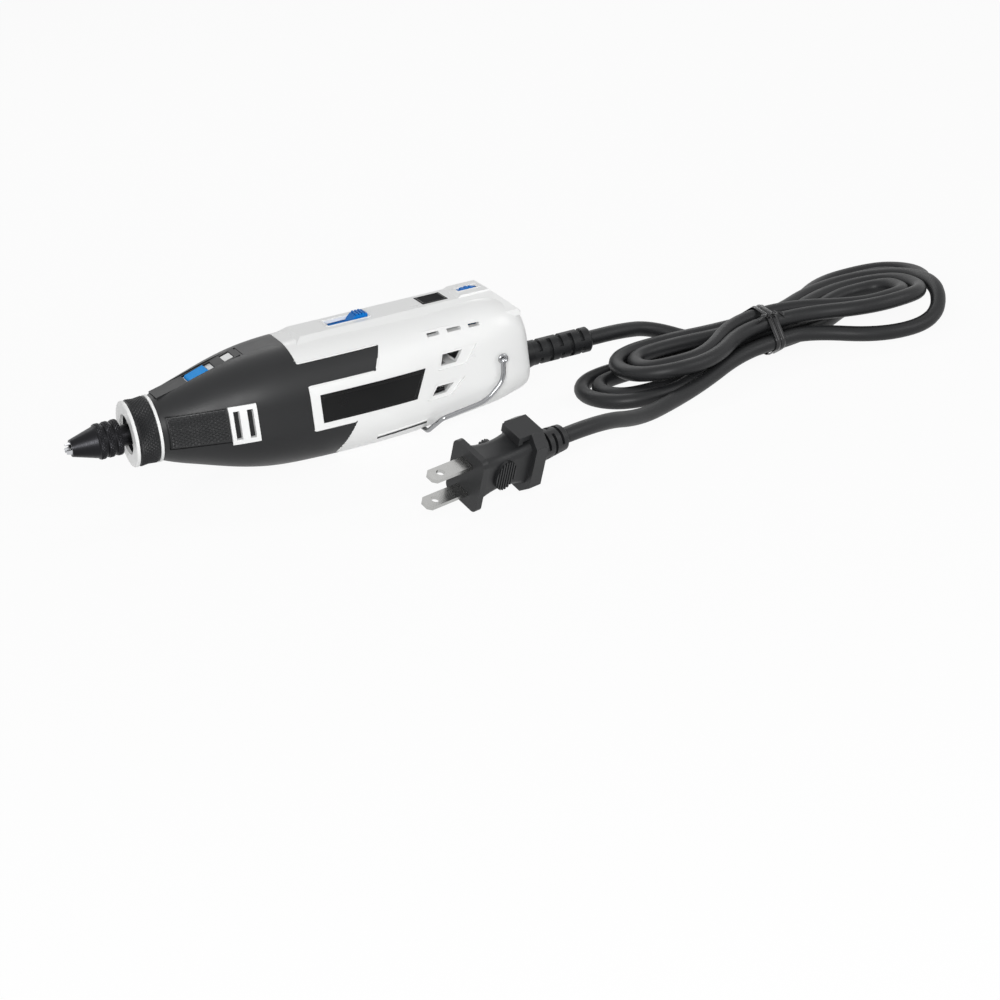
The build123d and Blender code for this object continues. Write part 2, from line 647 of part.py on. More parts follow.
def label_plate():
    return block(LABEL_START, LABEL_START + LABEL_LENGTH, -LABEL_HALF_WIDTH, LABEL_HALF_WIDTH,
                 RIDGE_TOP - LABEL_DEPTH, RIDGE_TOP + 0.1)


# ---- nose cap ----------------------------------------------------------------------------------
def nose_ring():
    """The white ring at the very front, with a rounded outer edge."""
    edge = NOSE_RING_THICKNESS / 3
    return spin([(0, NOSE_HOLE_RADIUS), (0, CAP_RADIUS - edge), (edge, CAP_RADIUS),
                 (NOSE_RING_THICKNESS, CAP_RADIUS), (NOSE_RING_THICKNESS, NOSE_HOLE_RADIUS)])


def nose_cap():
    """The knurled collar that screws onto the spigot, a little waisted."""
    start = NOSE_RING_THICKNESS + CAP_GAP
    end = HOUSING_START - TRIM_RING_THICKNESS - CAP_GAP
    middle = (start + end) / 2
    collar = spin([(start, NOSE_HOLE_RADIUS), (start, CAP_RADIUS - 0.2), (middle, CAP_RADIUS - 0.2 - CAP_WAIST),
                   (end, CAP_RADIUS - 0.2), (end, NOSE_HOLE_RADIUS)])
    room = along_x(SPIGOT_FRONT - CAP_GAP, HOUSING_START, SPIGOT_RADIUS + CAP_THREAD_FIT)
    return collar - room


def trim_ring():
    start = HOUSING_START - TRIM_RING_THICKNESS
    return tube_x(start, TRIM_RING_THICKNESS, TRIM_RING_RADIUS, SPIGOT_RADIUS + SEAM_FIT)


# ---- keyless chuck -----------------------------------------------------------------------------
def jaw_cone_radius(x):
    """Radius of the tapered bore that squeezes the jaws."""
    cone_front = CHUCK_REAR - KNURL_LENGTH - CHUCK_CONE_LENGTH
    return JAW_CONE_FRONT_RADIUS + (x - cone_front) * tan(radians(JAW_CONE_ANGLE))


def chuck_body():
    """The outer sleeve: three ribs to grip, then a cone, with the tapered bore inside."""
    knurl_front = CHUCK_REAR - KNURL_LENGTH
    tip = knurl_front - CHUCK_CONE_LENGTH
    jaw_rear = tip + JAW_LENGTH - JAW_PROUD + 0.5
    groove = 0.9
    rib = (KNURL_LENGTH - 2 * groove) / 3
    outside = [(CHUCK_REAR, CHUCK_RADIUS)]
    for ring in (1, 2):
        edge = CHUCK_REAR - ring * rib - (ring - 1) * groove
        outside += [(edge, CHUCK_RADIUS), (edge, CHUCK_RADIUS - CHUCK_GROOVE),
                    (edge - groove, CHUCK_RADIUS - CHUCK_GROOVE), (edge - groove, CHUCK_RADIUS)]
    outside += [(knurl_front, CHUCK_RADIUS), (knurl_front - 0.3, CHUCK_RADIUS - 0.5), (tip, CHUCK_TIP_RADIUS)]
    thread = CHUCK_THREAD_RADIUS + CAP_THREAD_FIT
    inside = [(tip, jaw_cone_radius(tip)), (jaw_rear, jaw_cone_radius(jaw_rear)), (jaw_rear, thread),
              (CHUCK_REAR, thread)]
    return spin(outside + inside)


def jaw_angle(number):
    return 90.0 + 120.0 * number


def chuck_jaw(number):
    """One of three wedges that grip the shank, cut clear of its neighbours over its travel."""
    tip = CHUCK_REAR - KNURL_LENGTH - CHUCK_CONE_LENGTH - JAW_PROUD
    rear = tip + JAW_LENGTH
    wedge = spin([(tip, SHANK_RADIUS), (tip, jaw_cone_radius(tip) - JAW_FIT),
                  (rear, jaw_cone_radius(rear) - JAW_FIT), (rear, SHANK_RADIUS)])
    inward = JAW_TRAVEL * sin(radians(JAW_CONE_ANGLE))
    apex = inward + 2 * JAW_FIT
    shoulder = apex + JAW_HALF_WIDTH / tan(radians(60))
    outline = Plane((tip - 1, 0, 0), x_dir=(0, 1, 0), z_dir=(1, 0, 0)) * make_face(Polyline(
        (apex, 0), (shoulder, JAW_HALF_WIDTH), (12, JAW_HALF_WIDTH), (12, -JAW_HALF_WIDTH),
        (shoulder, -JAW_HALF_WIDTH), close=True).edges())
    slab = extrude(outline, JAW_LENGTH + 2)
    return wedge & slab.rotate(Axis.X, jaw_angle(number))


# ---- spindle and bearings ------------------------------------------------------------------------
def spindle():
    """The output shaft, bored for the shank and cross-drilled for the lock pin."""
    nose = CHUCK_REAR - KNURL_LENGTH - 0.6
    shaft = along_x(nose, 12, CHUCK_THREAD_RADIUS) + along_x(CHUCK_REAR + 0.3, SPINDLE_END - CHUCK_REAR - 0.3,
                                                          SPINDLE_RADIUS)
    shaft -= along_x(nose - 1, SPINDLE_BORE_DEPTH + 1, SHANK_RADIUS + 0.15)
    hole = LOCK_PIN_RADIUS + LOCK_FIT
    shaft -= Pos(LOCK_X, 0, 0) * Cylinder(hole, 4 * SPINDLE_RADIUS)
    shaft -= along_y(LOCK_X, 0, hole, -2 * SPINDLE_RADIUS, 2 * SPINDLE_RADIUS)
    return shaft


def bearing(start, width, outer, inner):
    """A sealed ball bearing with a shallow shield groove on both faces."""
    ring = tube_x(start, width, outer, inner)
    middle = (outer + inner) / 2
    for face in (start - 1, start + width - 0.4):
        ring -= tube_x(face, 1.4, middle + 1.0, middle - 1.0)
    return ring


def front_bearing():
    return bearing(FRONT_BEARING_START, BEARING_WIDTH, FRONT_BEARING_RADIUS, SPINDLE_RADIUS + RUNNING_FIT)


def rear_spindle_bearing():
    return bearing(REAR_SPINDLE_BEARING_START, BEARING_WIDTH, REAR_SPINDLE_BEARING_RADIUS,
                   SPINDLE_RADIUS + RUNNING_FIT)


def motor_bearing(start):
    return bearing(start, MOTOR_BEARING_WIDTH, MOTOR_BEARING_RADIUS, MOTOR_SHAFT_RADIUS + RUNNING_FIT)


def shaft_coupler():
    start = SPINDLE_END - COUPLER_LENGTH / 2 + 0.5
    sleeve = along_x(start, COUPLER_LENGTH, COUPLER_RADIUS)
    sleeve -= along_x(start - 1, SPINDLE_END + 0.2 - start + 1, SPINDLE_RADIUS + SEAM_FIT / 2)
    return sleeve - along_x(start, COUPLER_LENGTH + 1, MOTOR_SHAFT_RADIUS + SEAM_FIT / 2)


# ---- motor ------------------------------------------------------------------------------------
def sector(direction, half_angle, x_from, x_to):
    """A wedge about the X axis; direction 0 is +Y and 90 is +Z."""
    corners = [(0, 0)]
    for share in (-1, -0.5, 0, 0.5, 1):
        angle = radians(direction + share * half_angle)
        corners.append((60 * cos(angle), 60 * sin(angle)))
    outline = Plane((x_from, 0, 0), x_dir=(0, 1, 0), z_dir=(1, 0, 0)) * make_face(
        Polyline(*corners, close=True).edges())
    return extrude(outline, x_to - x_from)


def armature_shaft():
    start = SPINDLE_END + 0.5
    return along_x(start, MOTOR_REAR_BEARING_START + MOTOR_BEARING_WIDTH + 0.5 - start, MOTOR_SHAFT_RADIUS)


def armature_start():
    return STATOR_START + 2.0


def armature_length():
    return STATOR_LENGTH - 4.0


def slot_bars(width, inner, outer, start, length):
    """Bars set round the shaft, one for each armature slot."""
    bars = []
    for number in range(ARMATURE_SLOTS):
        bar = block(start, start + length, inner, outer, -width / 2, width / 2)
        bars.append(bar.rotate(Axis.X, 360 / ARMATURE_SLOTS * number))
    return join(bars)


def armature_core():
    core = tube_x(armature_start(), armature_length(), ARMATURE_RADIUS, MOTOR_SHAFT_RADIUS + SEAM_FIT / 2)
    return core - slot_bars(2.2, ARMATURE_RADIUS - 4.5, ARMATURE_RADIUS + 1, armature_start() - 1,
                            armature_length() + 2)


def armature_winding():
    """Copper in the slots, with the end turns at both ends."""
    start, length = armature_start(), armature_length()
    winding = slot_bars(2.0, ARMATURE_RADIUS - 4.4, ARMATURE_RADIUS - 0.6, start - 1, length + 2)
    for end in (start - SEAM_FIT - END_TURNS, start + length + SEAM_FIT):
        winding += tube_x(end, END_TURNS, ARMATURE_RADIUS - 1.5, MOTOR_SHAFT_RADIUS + 1.5)
    return winding


def stator_core():
    """The laminated field: a rim with a pole above and a pole below the armature."""
    inner = STATOR_RADIUS - STATOR_RIM
    core = tube_x(STATOR_START, STATOR_LENGTH, STATOR_RADIUS, inner)
    poles = tube_x(STATOR_START, STATOR_LENGTH, inner + 0.1, ARMATURE_RADIUS + AIR_GAP)
    for direction in (90, 270):
        core += poles & sector(direction, POLE_HALF_ANGLE, STATOR_START, STATOR_START + STATOR_LENGTH)
    return core


def field_winding():
    """A coil round each pole: two sides beside the pole and an arc across each end."""
    start = STATOR_START - END_TURNS
    end = STATOR_START + STATOR_LENGTH + END_TURNS
    band = tube_x(start, end - start, STATOR_RADIUS - STATOR_RIM - 0.1, ARMATURE_RADIUS + AIR_GAP + 0.2)
    coils = []
    for direction in (90, 270):
        coil = band & sector(direction, POLE_HALF_ANGLE + 24, start, end)
        coil -= sector(direction, POLE_HALF_ANGLE + 1.5, STATOR_START - SEAM_FIT, end - END_TURNS + SEAM_FIT)
        coils.append(coil)
    return coils[0] + coils[1]


def commutator():
    drum = tube_x(COMMUTATOR_START, COMMUTATOR_LENGTH, COMMUTATOR_RADIUS, MOTOR_SHAFT_RADIUS + SEAM_FIT / 2)
    gap = block(COMMUTATOR_START - 1, COMMUTATOR_START + COMMUTATOR_LENGTH + 1, COMMUTATOR_RADIUS - 0.7,
                COMMUTATOR_RADIUS + 1, -0.2, 0.2)
    gaps = [gap.rotate(Axis.X, 360 / COMMUTATOR_BARS * (number + 0.5)) for number in range(COMMUTATOR_BARS)]
    return drum - join(gaps)


def cooling_fan():
    """A back plate with radial blades in front of it."""
    plate = 1.2
    fan = along_x(FAN_START, FAN_WIDTH, MOTOR_SHAFT_RADIUS + 2)
    fan += along_x(FAN_START + FAN_WIDTH - plate, plate, FAN_RADIUS)
    for number in range(FAN_BLADES):
        blade = block(FAN_START + 0.5, FAN_START + FAN_WIDTH - plate / 2, 3, FAN_RADIUS - 0.4, -0.6, 0.6)
        fan += blade.rotate(Axis.X, 360 / FAN_BLADES * number)
    return fan - along_x(FAN_START - 1, FAN_WIDTH + 2, MOTOR_SHAFT_RADIUS + SEAM_FIT / 2)


def brush_x():
    return COMMUTATOR_START + COMMUTATOR_LENGTH / 2


def both_sides(shape):
    return shape + shape.rotate(Axis.X, 180)


def carbon_brushes():
    x, half = brush_x(), BRUSH_SIZE / 2
    brush = block(x - half, x + half, COMMUTATOR_RADIUS - 1, COMMUTATOR_RADIUS + BRUSH_LENGTH, -half, half)
    brush -= along_x(x - BRUSH_SIZE, 2 * BRUSH_SIZE, COMMUTATOR_RADIUS + RUNNING_FIT)
    return both_sides(brush)


def brush_springs():
    start = COMMUTATOR_RADIUS + BRUSH_LENGTH + SEAM_FIT
    spring = along_y(brush_x(), 0, 2.2, start, start + BRUSH_SPRING_LENGTH)
    return both_sides(spring - along_y(brush_x(), 0, 1.6, start - 1, start + BRUSH_SPRING_LENGTH + 1))


def brush_holders():
    """Square tubes from beside the commutator out to the housing wall, closed at the outer end."""
    x, half = brush_x(), BRUSH_SIZE / 2 + SEAM_FIT
    outer = half + HOLDER_WALL
    closed_at = COMMUTATOR_RADIUS + BRUSH_LENGTH + BRUSH_SPRING_LENGTH + 2 * SEAM_FIT
    holder = block(x - outer, x + outer, COMMUTATOR_RADIUS + 1.2, BODY_HALF_WIDTH, -outer, outer)
    holder -= block(x - half, x + half, COMMUTATOR_RADIUS, closed_at, -half, half)
    return both_sides(holder) & form(WALL + SEAM_FIT)


# ---- power slider and switch --------------------------------------------------------------------
def slider_plate_top():
    return RIDGE_TOP - SKIN - SLIDER_FIT


def thumb_end():
    return SLIDER_SLOT_START + SLIDER_SLOT_LENGTH - SLIDER_FIT


def power_slider():
    """The sliding plate under the ridge with the ribbed thumb piece through the slot."""
    top = slider_plate_top()
    half = SLIDER_SLOT_HALF_WIDTH + 1.2
    plate = block(SLIDER_SLOT_START - 0.8, thumb_end() + SLIDER_TRAVEL + 0.8, -half, half,
                  top - SLIDER_PLATE_THICKNESS, top)
    start, end = thumb_end() - THUMB_LENGTH, thumb_end()
    outline = [(start, top - 0.2), (end, top - 0.2), (end, THUMB_TOP - 0.5), (end - 1.2, THUMB_TOP),
               (start + 3.2, THUMB_TOP), (start + 0.6, top + 1.0)]
    thumb_half = SLIDER_SLOT_HALF_WIDTH - SLIDER_FIT
    thumb = side_prism(outline, -thumb_half, thumb_half)
    for rib in range(4):
        x = start + 2.6 + rib * 1.25
        thumb -= block(x, x + 0.5, -thumb_half - 1, thumb_half + 1, THUMB_TOP - 0.6, THUMB_TOP + 1)
    return plate + thumb


def switch_link():
    """The strip that carries the slider's travel back to the switch."""
    half = LINK_WIDTH / 2
    plate_bottom = slider_plate_top() - SLIDER_PLATE_THICKNESS
    top = LINK_BOTTOM + LINK_THICKNESS
    tab = SWITCH_START + SWITCH_LENGTH - 2.6
    strip = block(thumb_end() - THUMB_LENGTH + 1, tab + 1.5, -half, half, LINK_BOTTOM, top)
    strip += block(thumb_end() - THUMB_LENGTH + 1, thumb_end() - 1.5, -half, half, top, plate_bottom)
    return strip + block(tab, tab + 1.5, -1.4, 1.4, SWITCH_TOP - 1.8, LINK_BOTTOM)


def switch_body():
    end = SWITCH_START + SWITCH_LENGTH
    body = block(SWITCH_START, end, -SWITCH_HALF_WIDTH, SWITCH_HALF_WIDTH, SWITCH_BOTTOM, SWITCH_TOP)
    return body - block(SWITCH_START + 1, end - 0.6, -1.8, 1.8, SWITCH_TOP - 2.3, SWITCH_TOP + 1)


# ---- speed dial and board -------------------------------------------------------------------------
def speed_dial():
    """The notched thumbwheel on its pin."""
    half = DIAL_WIDTH / 2
    wheel = along_y(DIAL_X, dial_z(), DIAL_RADIUS, -half, half)
    notches = []
    for number in range(DIAL_NOTCHES):
        angle = 2 * pi * number / DIAL_NOTCHES
        notches.append(along_y(DIAL_X + DIAL_RADIUS * cos(angle), dial_z() + DIAL_RADIUS * sin(angle), 0.4,
                               -half - 1, half + 1))
    wheel -= join(notches)
    return wheel + along_y(DIAL_X, dial_z(), DIAL_PIN_RADIUS, half - 0.2, half + POT_LENGTH - 0.6)


def potentiometer():
    start = DIAL_WIDTH / 2 + DIAL_FIT
    case = along_y(DIAL_X, dial_z(), POT_RADIUS, start, start + POT_LENGTH)
    return case - along_y(DIAL_X, dial_z(), DIAL_PIN_RADIUS + RUNNING_FIT, 0, start + POT_LENGTH - 0.6)


def board_face():
    return DIAL_WIDTH / 2 + DIAL_FIT + POT_LENGTH


def speed_board():
    """The circuit board, with a few raised parts on it."""
    face = board_face()
    board = block(BOARD_START, BOARD_START + BOARD_LENGTH, face, face + BOARD_THICKNESS, BOARD_BOTTOM, BOARD_TOP)
    board += block(BOARD_START + 1.5, BOARD_START + 6.5, face - 3.0, face, 4.5, 9.5)
    return board + along_y(BOARD_START + 2.6, 12.5, 2.0, face - 3.5, face)


def board_pads():
    """Two pads on the right wall that the board rests on."""
    out = board_face() + BOARD_THICKNESS + SEAM_FIT
    pads = []
    for x in (BOARD_START + 1, BOARD_START + BOARD_LENGTH - 3):
        pads.append(block(x, x + 2, out, BODY_HALF_WIDTH + 2, 5, 8))
    return join(pads) & form(WALL / 2)


# ---- spindle lock -----------------------------------------------------------------------------------
def lock_button_bottom():
    return LOCK_FLOOR + LOCK_TRAVEL + 0.6


def lock_button():
    """The sliding key that pushes the pin into the spindle, with three grip steps."""
    half = LOCK_LENGTH / 2
    bottom = lock_button_bottom()
    front_top, rear_top = bottom + 2.9, bottom + 5.2
    outline = [(LOCK_X - half, bottom), (LOCK_X + half, bottom), (LOCK_X + half, rear_top - 0.6),
               (LOCK_X + half - 0.7, rear_top), (LOCK_X - half + 0.4, front_top), (LOCK_X - half, front_top - 0.5)]
    key = side_prism(outline, -LOCK_HALF_WIDTH, LOCK_HALF_WIDTH)
    return key - Pos(LOCK_X, 0, bottom + 0.5) * Cylinder(LOCK_PIN_RADIUS + SEAM_FIT / 2, 1.4)


def lock_pin():
    low = SPINDLE_RADIUS + LOCK_REST_GAP
    high = lock_button_bottom() + 1.1
    return Pos(LOCK_X, 0, (low + high) / 2) * Cylinder(LOCK_PIN_RADIUS, high - low)


def lock_spring():
    """The coil under the button, kept as a plain sleeve."""
    low, high = LOCK_FLOOR + 0.05, lock_button_bottom() - 0.05
    sleeve = Cylinder(LOCK_SPRING_RADIUS, high - low) - Cylinder(LOCK_SPRING_RADIUS - LOCK_SPRING_WIRE, FAR / 8)
    return Pos(LOCK_X, 0, (low + high) / 2) * sleeve


def lock_bezel():
    """The dark trim in the channel, with a window round the button and one behind it."""
    low, high = channel_floor(0.02), channel_floor(BEZEL_THICKNESS)
    half = CHANNEL_HALF_WIDTH - SKIN_GAP
    trim = side_prism(low + high[::-1], -half, half)
    trim &= block(CHANNEL_START + 0.3, CHANNEL_END - 1.2, -half, half, 0, FAR / 8)
    for start, end in ((LOCK_X - 5.2, 37.2), (41.2, 45.2)):
        trim -= block(start, end, -half + 1.1, half - 1.1, 0, FAR / 8)
    return trim


# ---- hanging bail ------------------------------------------------------------------------------------
def hanger_bail():
    """One bent wire: an end pin each side, legs down the flanks and a bar under the belly."""
    out, bar = BAIL_HALF_WIDTH, bail_bar_z()
    side = [(BAIL_PIVOT_X, -out + 4.2, BAIL_PIVOT_Z), (BAIL_PIVOT_X, -out, BAIL_PIVOT_Z),
            (BAIL_PIVOT_X - 1.0, -out, BAIL_PIVOT_Z - 8.5), (BAIL_PIVOT_X - 9.0, -out, BAIL_PIVOT_Z - 15.2),
            (BAIL_CROSS_X + 4, -out, BAIL_PIVOT_Z - 17.8), (BAIL_CROSS_X, -BAIL_BAR_HALF, bar)]
    other = [(x, -y, z) for x, y, z in reversed(side)]
    radii = [1.3, 8.0, 14.0, 2.5, 3.0]
    path = FilletPolyline(*side, *other, radius=radii + radii[::-1])
    start = Plane(side[0], z_dir=(0, -1, 0))
    return sweep(start * Circle(BAIL_WIRE_RADIUS), path=path)


# ---- screws ---------------------------------------------------------------------------------------------
def housing_screws():
    screws = []
    for x, z in SCREW_PLACES:
        face = screw_head_face(x)
        shank = along_y(x, z, SCREW_RADIUS - SEAM_FIT, -BOSS_REACH + 0.3, face - SCREW_HEAD_HEIGHT)
        head = along_y(x, z, SCREW_HEAD_RADIUS, face - SCREW_HEAD_HEIGHT, face)
        head -= block(x - 2, x + 2, face - 0.9, face + 1, z - 0.4, z + 0.4)
        head -= block(x - 0.4, x + 0.4, face - 0.9, face + 1, z - 2, z + 2)
        screws.append(shank + head)
    return screws


def clamp_screws():
    screws = []
    outer = CORD_RADIUS + SEAM_FIT + CLAMP_THICKNESS
    for z in (-LEAD_DROP - CLAMP_SPREAD, -LEAD_DROP + CLAMP_SPREAD):
        screws.append(along_y(CLAMP_X, z, SCREW_RADIUS - 0.45, -6, outer) +
                      along_y(CLAMP_X, z, 2.2, outer, outer + 1.4))
    return screws


def cord_clamp():
    low, high = CORD_RADIUS + SEAM_FIT, CORD_RADIUS + SEAM_FIT + CLAMP_THICKNESS
    reach = CLAMP_SPREAD + 2.6
    plate = block(CLAMP_X - 2.5, CLAMP_X + 2.5, low, high, -LEAD_DROP - reach, -LEAD_DROP + reach)
    for z in (-LEAD_DROP - CLAMP_SPREAD, -LEAD_DROP + CLAMP_SPREAD):
        plate -= along_y(CLAMP_X, z, SCREW_RADIUS - 0.4, 0, FAR / 8)
    return plate


# ---- lead's entry and its boot --------------------------------------------------------------------------
def cord_entry():
    """The stretch of the lead inside the housing and the boot."""
    start = CLAMP_X - CLAMP_REACH
    return along_x(start, BOOT_END - start, CORD_RADIUS, z=-LEAD_DROP)


def slotted(sleeve_start, sleeve_end, slots, outer, core, first_turn):
    """Ring slots down a strain relief, each bridged on two sides, turn about."""
    pitch = (sleeve_end - sleeve_start) / (slots + 0.5)
    cuts = []
    for number in range(slots):
        x = sleeve_start + pitch * (number + 0.4)
        ring = tube_x(x, pitch * 0.36, outer + 2, core)
        if (number + first_turn) % 2:
            ring -= block(x - 1, x + pitch, -1.4, 1.4, -20, 20)
        else:
            ring -= block(x - 1, x + pitch, -20, 20, -1.4, 1.4)
        cuts.append(ring)
    return join(cuts)


def cord_boot():
    """The strain relief: a flange inside the wall, a collar outside, a cone, then slotted."""
    wall_end = HOUSING_END + SEAM_FIT
    flange = CAVITY_END - SEAM_FIT
    cone_end = wall_end + BOOT_CONE
    bore = CORD_RADIUS + SEAM_FIT
    boot = spin([(flange - BOOT_FLANGE, bore), (flange - BOOT_FLANGE, BOOT_FLANGE_RADIUS),
                 (flange, BOOT_FLANGE_RADIUS), (flange, BOOT_NECK_RADIUS), (wall_end, BOOT_NECK_RADIUS),
                 (wall_end, BOOT_COLLAR_RADIUS), (wall_end + 2, BOOT_COLLAR_RADIUS),
                 (cone_end, BOOT_TIP_RADIUS), (BOOT_END - 0.6, BOOT_TIP_RADIUS), (BOOT_END, BOOT_TIP_RADIUS - 0.6),
                 (BOOT_END, bore)])
    boot -= slotted(cone_end, BOOT_END, BOOT_SLOTS, BOOT_TIP_RADIUS, CORD_RADIUS + 0.9, 0)
    return Pos(0, 0, -LEAD_DROP) * boot


def wire(points, radius, bend):
    path = FilletPolyline(*points, radius=bend)
    start = Plane(points[0], z_dir=Vector(*points[1]) - Vector(*points[0]))
    return sweep(start * Circle(radius), path=path)


def motor_leads():
    """Insulated wires from the end of the lead to the switch, a brush holder and the board."""
    start = CLAMP_X - CLAMP_REACH - SEAM_FIT
    z = -LEAD_DROP
    way_y, way_z = WIRE_WAY
    holder_face = -BRUSH_SIZE / 2 - HOLDER_WALL - 2 * SEAM_FIT
    live = wire([(start, -1.3, z - 1), (start - 2, -1.3, z - 1), (start - 4, -2.5, z - 1),
                 (129.5, way_y, way_z - 0.9), (121.5, way_y, way_z - 0.9), (brush_x(), way_y + 0.5, way_z - 0.5),
                 (brush_x(), way_y + 0.5, holder_face)], 0.7, 1.5)
    switched = wire([(start, -1.0, z + 1.4), (start - 2, -1.0, z + 1.4), (start - 4, -2.5, z + 1.4),
                     (129.5, way_y, way_z + 0.9), (121.6, way_y, way_z + 0.9), (119.6, way_y, 5.0), (119.6, way_y, 12.0),
                     (119.6, -SWITCH_HALF_WIDTH - SEAM_FIT, 12.0)], 0.7, 1.5)
    neutral = wire([(start, 1.6, z), (start - 2, 1.6, z), (start - 2, board_face() + 0.8, z + 3),
                    (start - 2, board_face() + 0.8, BOARD_BOTTOM - SEAM_FIT)], 0.7, 1.0)
    return [live, switched, neutral]


# ---- cord outside the tool, in the finished frame ------------------------------------------------------
def hank_heading(angle):
    """A level direction; 0 runs along the hank, away from the tool."""
    turned = radians(angle + HANK_TURN)
    return Vector(cos(turned), sin(turned), 0)


def hank_place(along, across, height):
    place = Vector(TIE_PLACE[0], TIE_PLACE[1], height)
    return place + hank_heading(0) * along + hank_heading(90) * across


def layer_height(layer):
    return CORD_RADIUS + LAYER * layer


def pass_height(layer):
    return layer_height(layer) + WAIST_LIFT + WAIST_SPREAD * layer


def loop_stations(loop, side):
    """Where a loop leaves the bundle, turns, and comes back; side is 1 away from the tool, -1 towards it."""
    reach, middle, half_width, layer_in, layer_tip, layer_out = loop
    shoulder = reach - half_width
    straight, back = (0, 180) if side > 0 else (180, 0)
    going = hank_place(side * shoulder, middle + side * half_width, layer_height(layer_in))
    tip = hank_place(side * reach, middle, layer_height(layer_tip))
    coming = hank_place(side * shoulder, middle - side * half_width, layer_height(layer_out))
    return [(going, hank_heading(straight)), (tip, hank_heading(-90 * side)), (coming, hank_heading(back))]


def hank_stations():
    """Places and headings all along the hank, from the lead's end to the tail's."""
    stations = []
    for number, (across, layer) in enumerate(PASSES):
        outward = number % 2 == 0
        stations.append((hank_place(0, across, pass_height(layer)), hank_heading(0 if outward else 180)))
        if number < len(PASSES) - 1:
            loops, side = (FAR_LOOPS, 1) if outward else (NEAR_LOOPS, -1)
            stations += loop_stations(loops[number // 2], side)
    run = 2 * CORD_RADIUS
    stations[0] = (stations[0][0] + hank_heading(0) * run, hank_heading(0))
    stations[-1] = (stations[-1][0] + hank_heading(0) * run, hank_heading(180))
    stations[-2] = (hank_place(*LAST_LOOP_SIDE, CORD_RADIUS), hank_heading(180))
    return stations


def biarc(start, heading, end, end_heading):
    """Two arcs that leave and arrive along the headings and meet smoothly."""
    span = end - start
    along = span.dot(heading + end_heading)
    spread = 2 * (1 - heading.dot(end_heading))
    if spread < 1e-9:
        reach = span.dot(span) / (4 * span.dot(end_heading))
    else:
        reach = (sqrt(along * along + spread * span.dot(span)) - along) / spread
    middle = (start + end + (heading - end_heading) * reach) * 0.5
    first = TangentArc(start, middle, tangent=heading)
    return [first, TangentArc(middle, end, tangent=first % 1)]


def hank_ends():
    """The end faces' middles, with the lead's end first."""
    stations = hank_stations()
    run = 2 * CORD_RADIUS
    return [place - heading * run if end == 0 else place + heading * run
            for end, (place, heading) in enumerate((stations[0], stations[-1]))]


def hank_edges():
    stations = hank_stations()
    first, last = hank_ends()
    edges = [Line(first, stations[0][0])]
    for (place, heading), (next_place, next_heading) in zip(stations, stations[1:]):
        edges += biarc(place, heading, next_place, next_heading)
    return edges + [Line(stations[-1][0], last)]


def tube(path, radius):
    """A round bar along a path."""
    return sweep(Plane(path @ 0, z_dir=path % 0) * Circle(radius), path=path)


def cord_hank():
    return tube(Wire(hank_edges()), CORD_RADIUS)


def bend_radii(points):
    """For each corner of a route, the widest bend that leaves a tenth of the run straight."""
    radii = []
    for before, corner, after in zip(points, points[1:], points[2:]):
        coming, going = Vector(*corner) - Vector(*before), Vector(*after) - Vector(*corner)
        turn = acos(coming.dot(going) / coming.length / going.length)
        radii.append(0.45 * min(coming.length, going.length) / tan(turn / 2))
    return radii


def free_stretch(points):
    return FilletPolyline(*points, radius=bend_radii(points))


def lead_points():
    """From the boot, over the first loops and down to the hank."""
    end = hank_ends()[0]
    start = (BOOT_END - MIDDLE, 0, BELLY - LEAD_DROP)
    return [start, *LEAD_WAY, tuple(end - hank_heading(0) * 20), tuple(end)]


def tail_points():
    """From the hank, along the floor and up into the plug's boot."""
    start = hank_ends()[1]
    arrive = Vector(*PLUG_END) + plug_heading() * 20
    return [tuple(start), tuple(start + hank_heading(180) * 17), *TAIL_WAY, tuple(arrive), PLUG_END]


def cord_lead():
    return tube(free_stretch(lead_points()), CORD_RADIUS)


def cord_tail():
    return tube(free_stretch(tail_points()), CORD_RADIUS)


def cord_tie():
    """Plastic-covered wire round the waist, with its twisted ends."""
    low, high = pass_height(0), pass_height(1)
    bottom = [across for across, layer in PASSES if layer == 0]
    top = [across for across, layer in PASSES if layer == 1]
    hull = Polyline((min(bottom), low), (max(bottom), low), (max(top), high), (min(top), high), close=True)
    turns = []
    for number in range(TIE_TURNS):
        along = (number - TIE_TURNS / 2) * TIE_PITCH
        plane = Plane(hank_place(along, 0, 0), x_dir=hank_heading(90), z_dir=hank_heading(0))
        outside = make_face(offset(hull, CORD_RADIUS + TIE_GAP + 2 * TIE_RADIUS).edges())
        inside = make_face(offset(hull, CORD_RADIUS + TIE_GAP).edges())
        turns.append(extrude(plane * outside, 2 * TIE_RADIUS) - extrude(plane * inside, 2 * TIE_RADIUS))
    across, height = (min(bottom) + min(top)) / 2 - 2.2, (low + high) / 2 + 4.0
    knot = Pos(*hank_place(0, across, height)) * Rot(0, 0, HANK_TURN) * Rot(0, 90, 0)
    return join(turns) + knot * Cylinder(2 * TIE_RADIUS, TIE_PITCH + 2 * TIE_RADIUS)


# ---- plug: x from its face back to the cord, z across the two blades -------------------------------------
def plug_heading():
    return Vector(cos(radians(PLUG_TURN)), sin(radians(PLUG_TURN)), 0)


def plug_location():
    reach = PLUG_LENGTH + PLUG_BOOT_LENGTH
    return Pos(*PLUG_END) * Rot(0, 0, PLUG_TURN) * Pos(-reach, 0, 0) * Rot(-PLUG_ROLL, 0, 0)


def plug_section(x, width, height, corner):
    return Plane((x, 0, 0), x_dir=(0, 1, 0), z_dir=(1, 0, 0)) * RectangleRounded(width, height, corner)


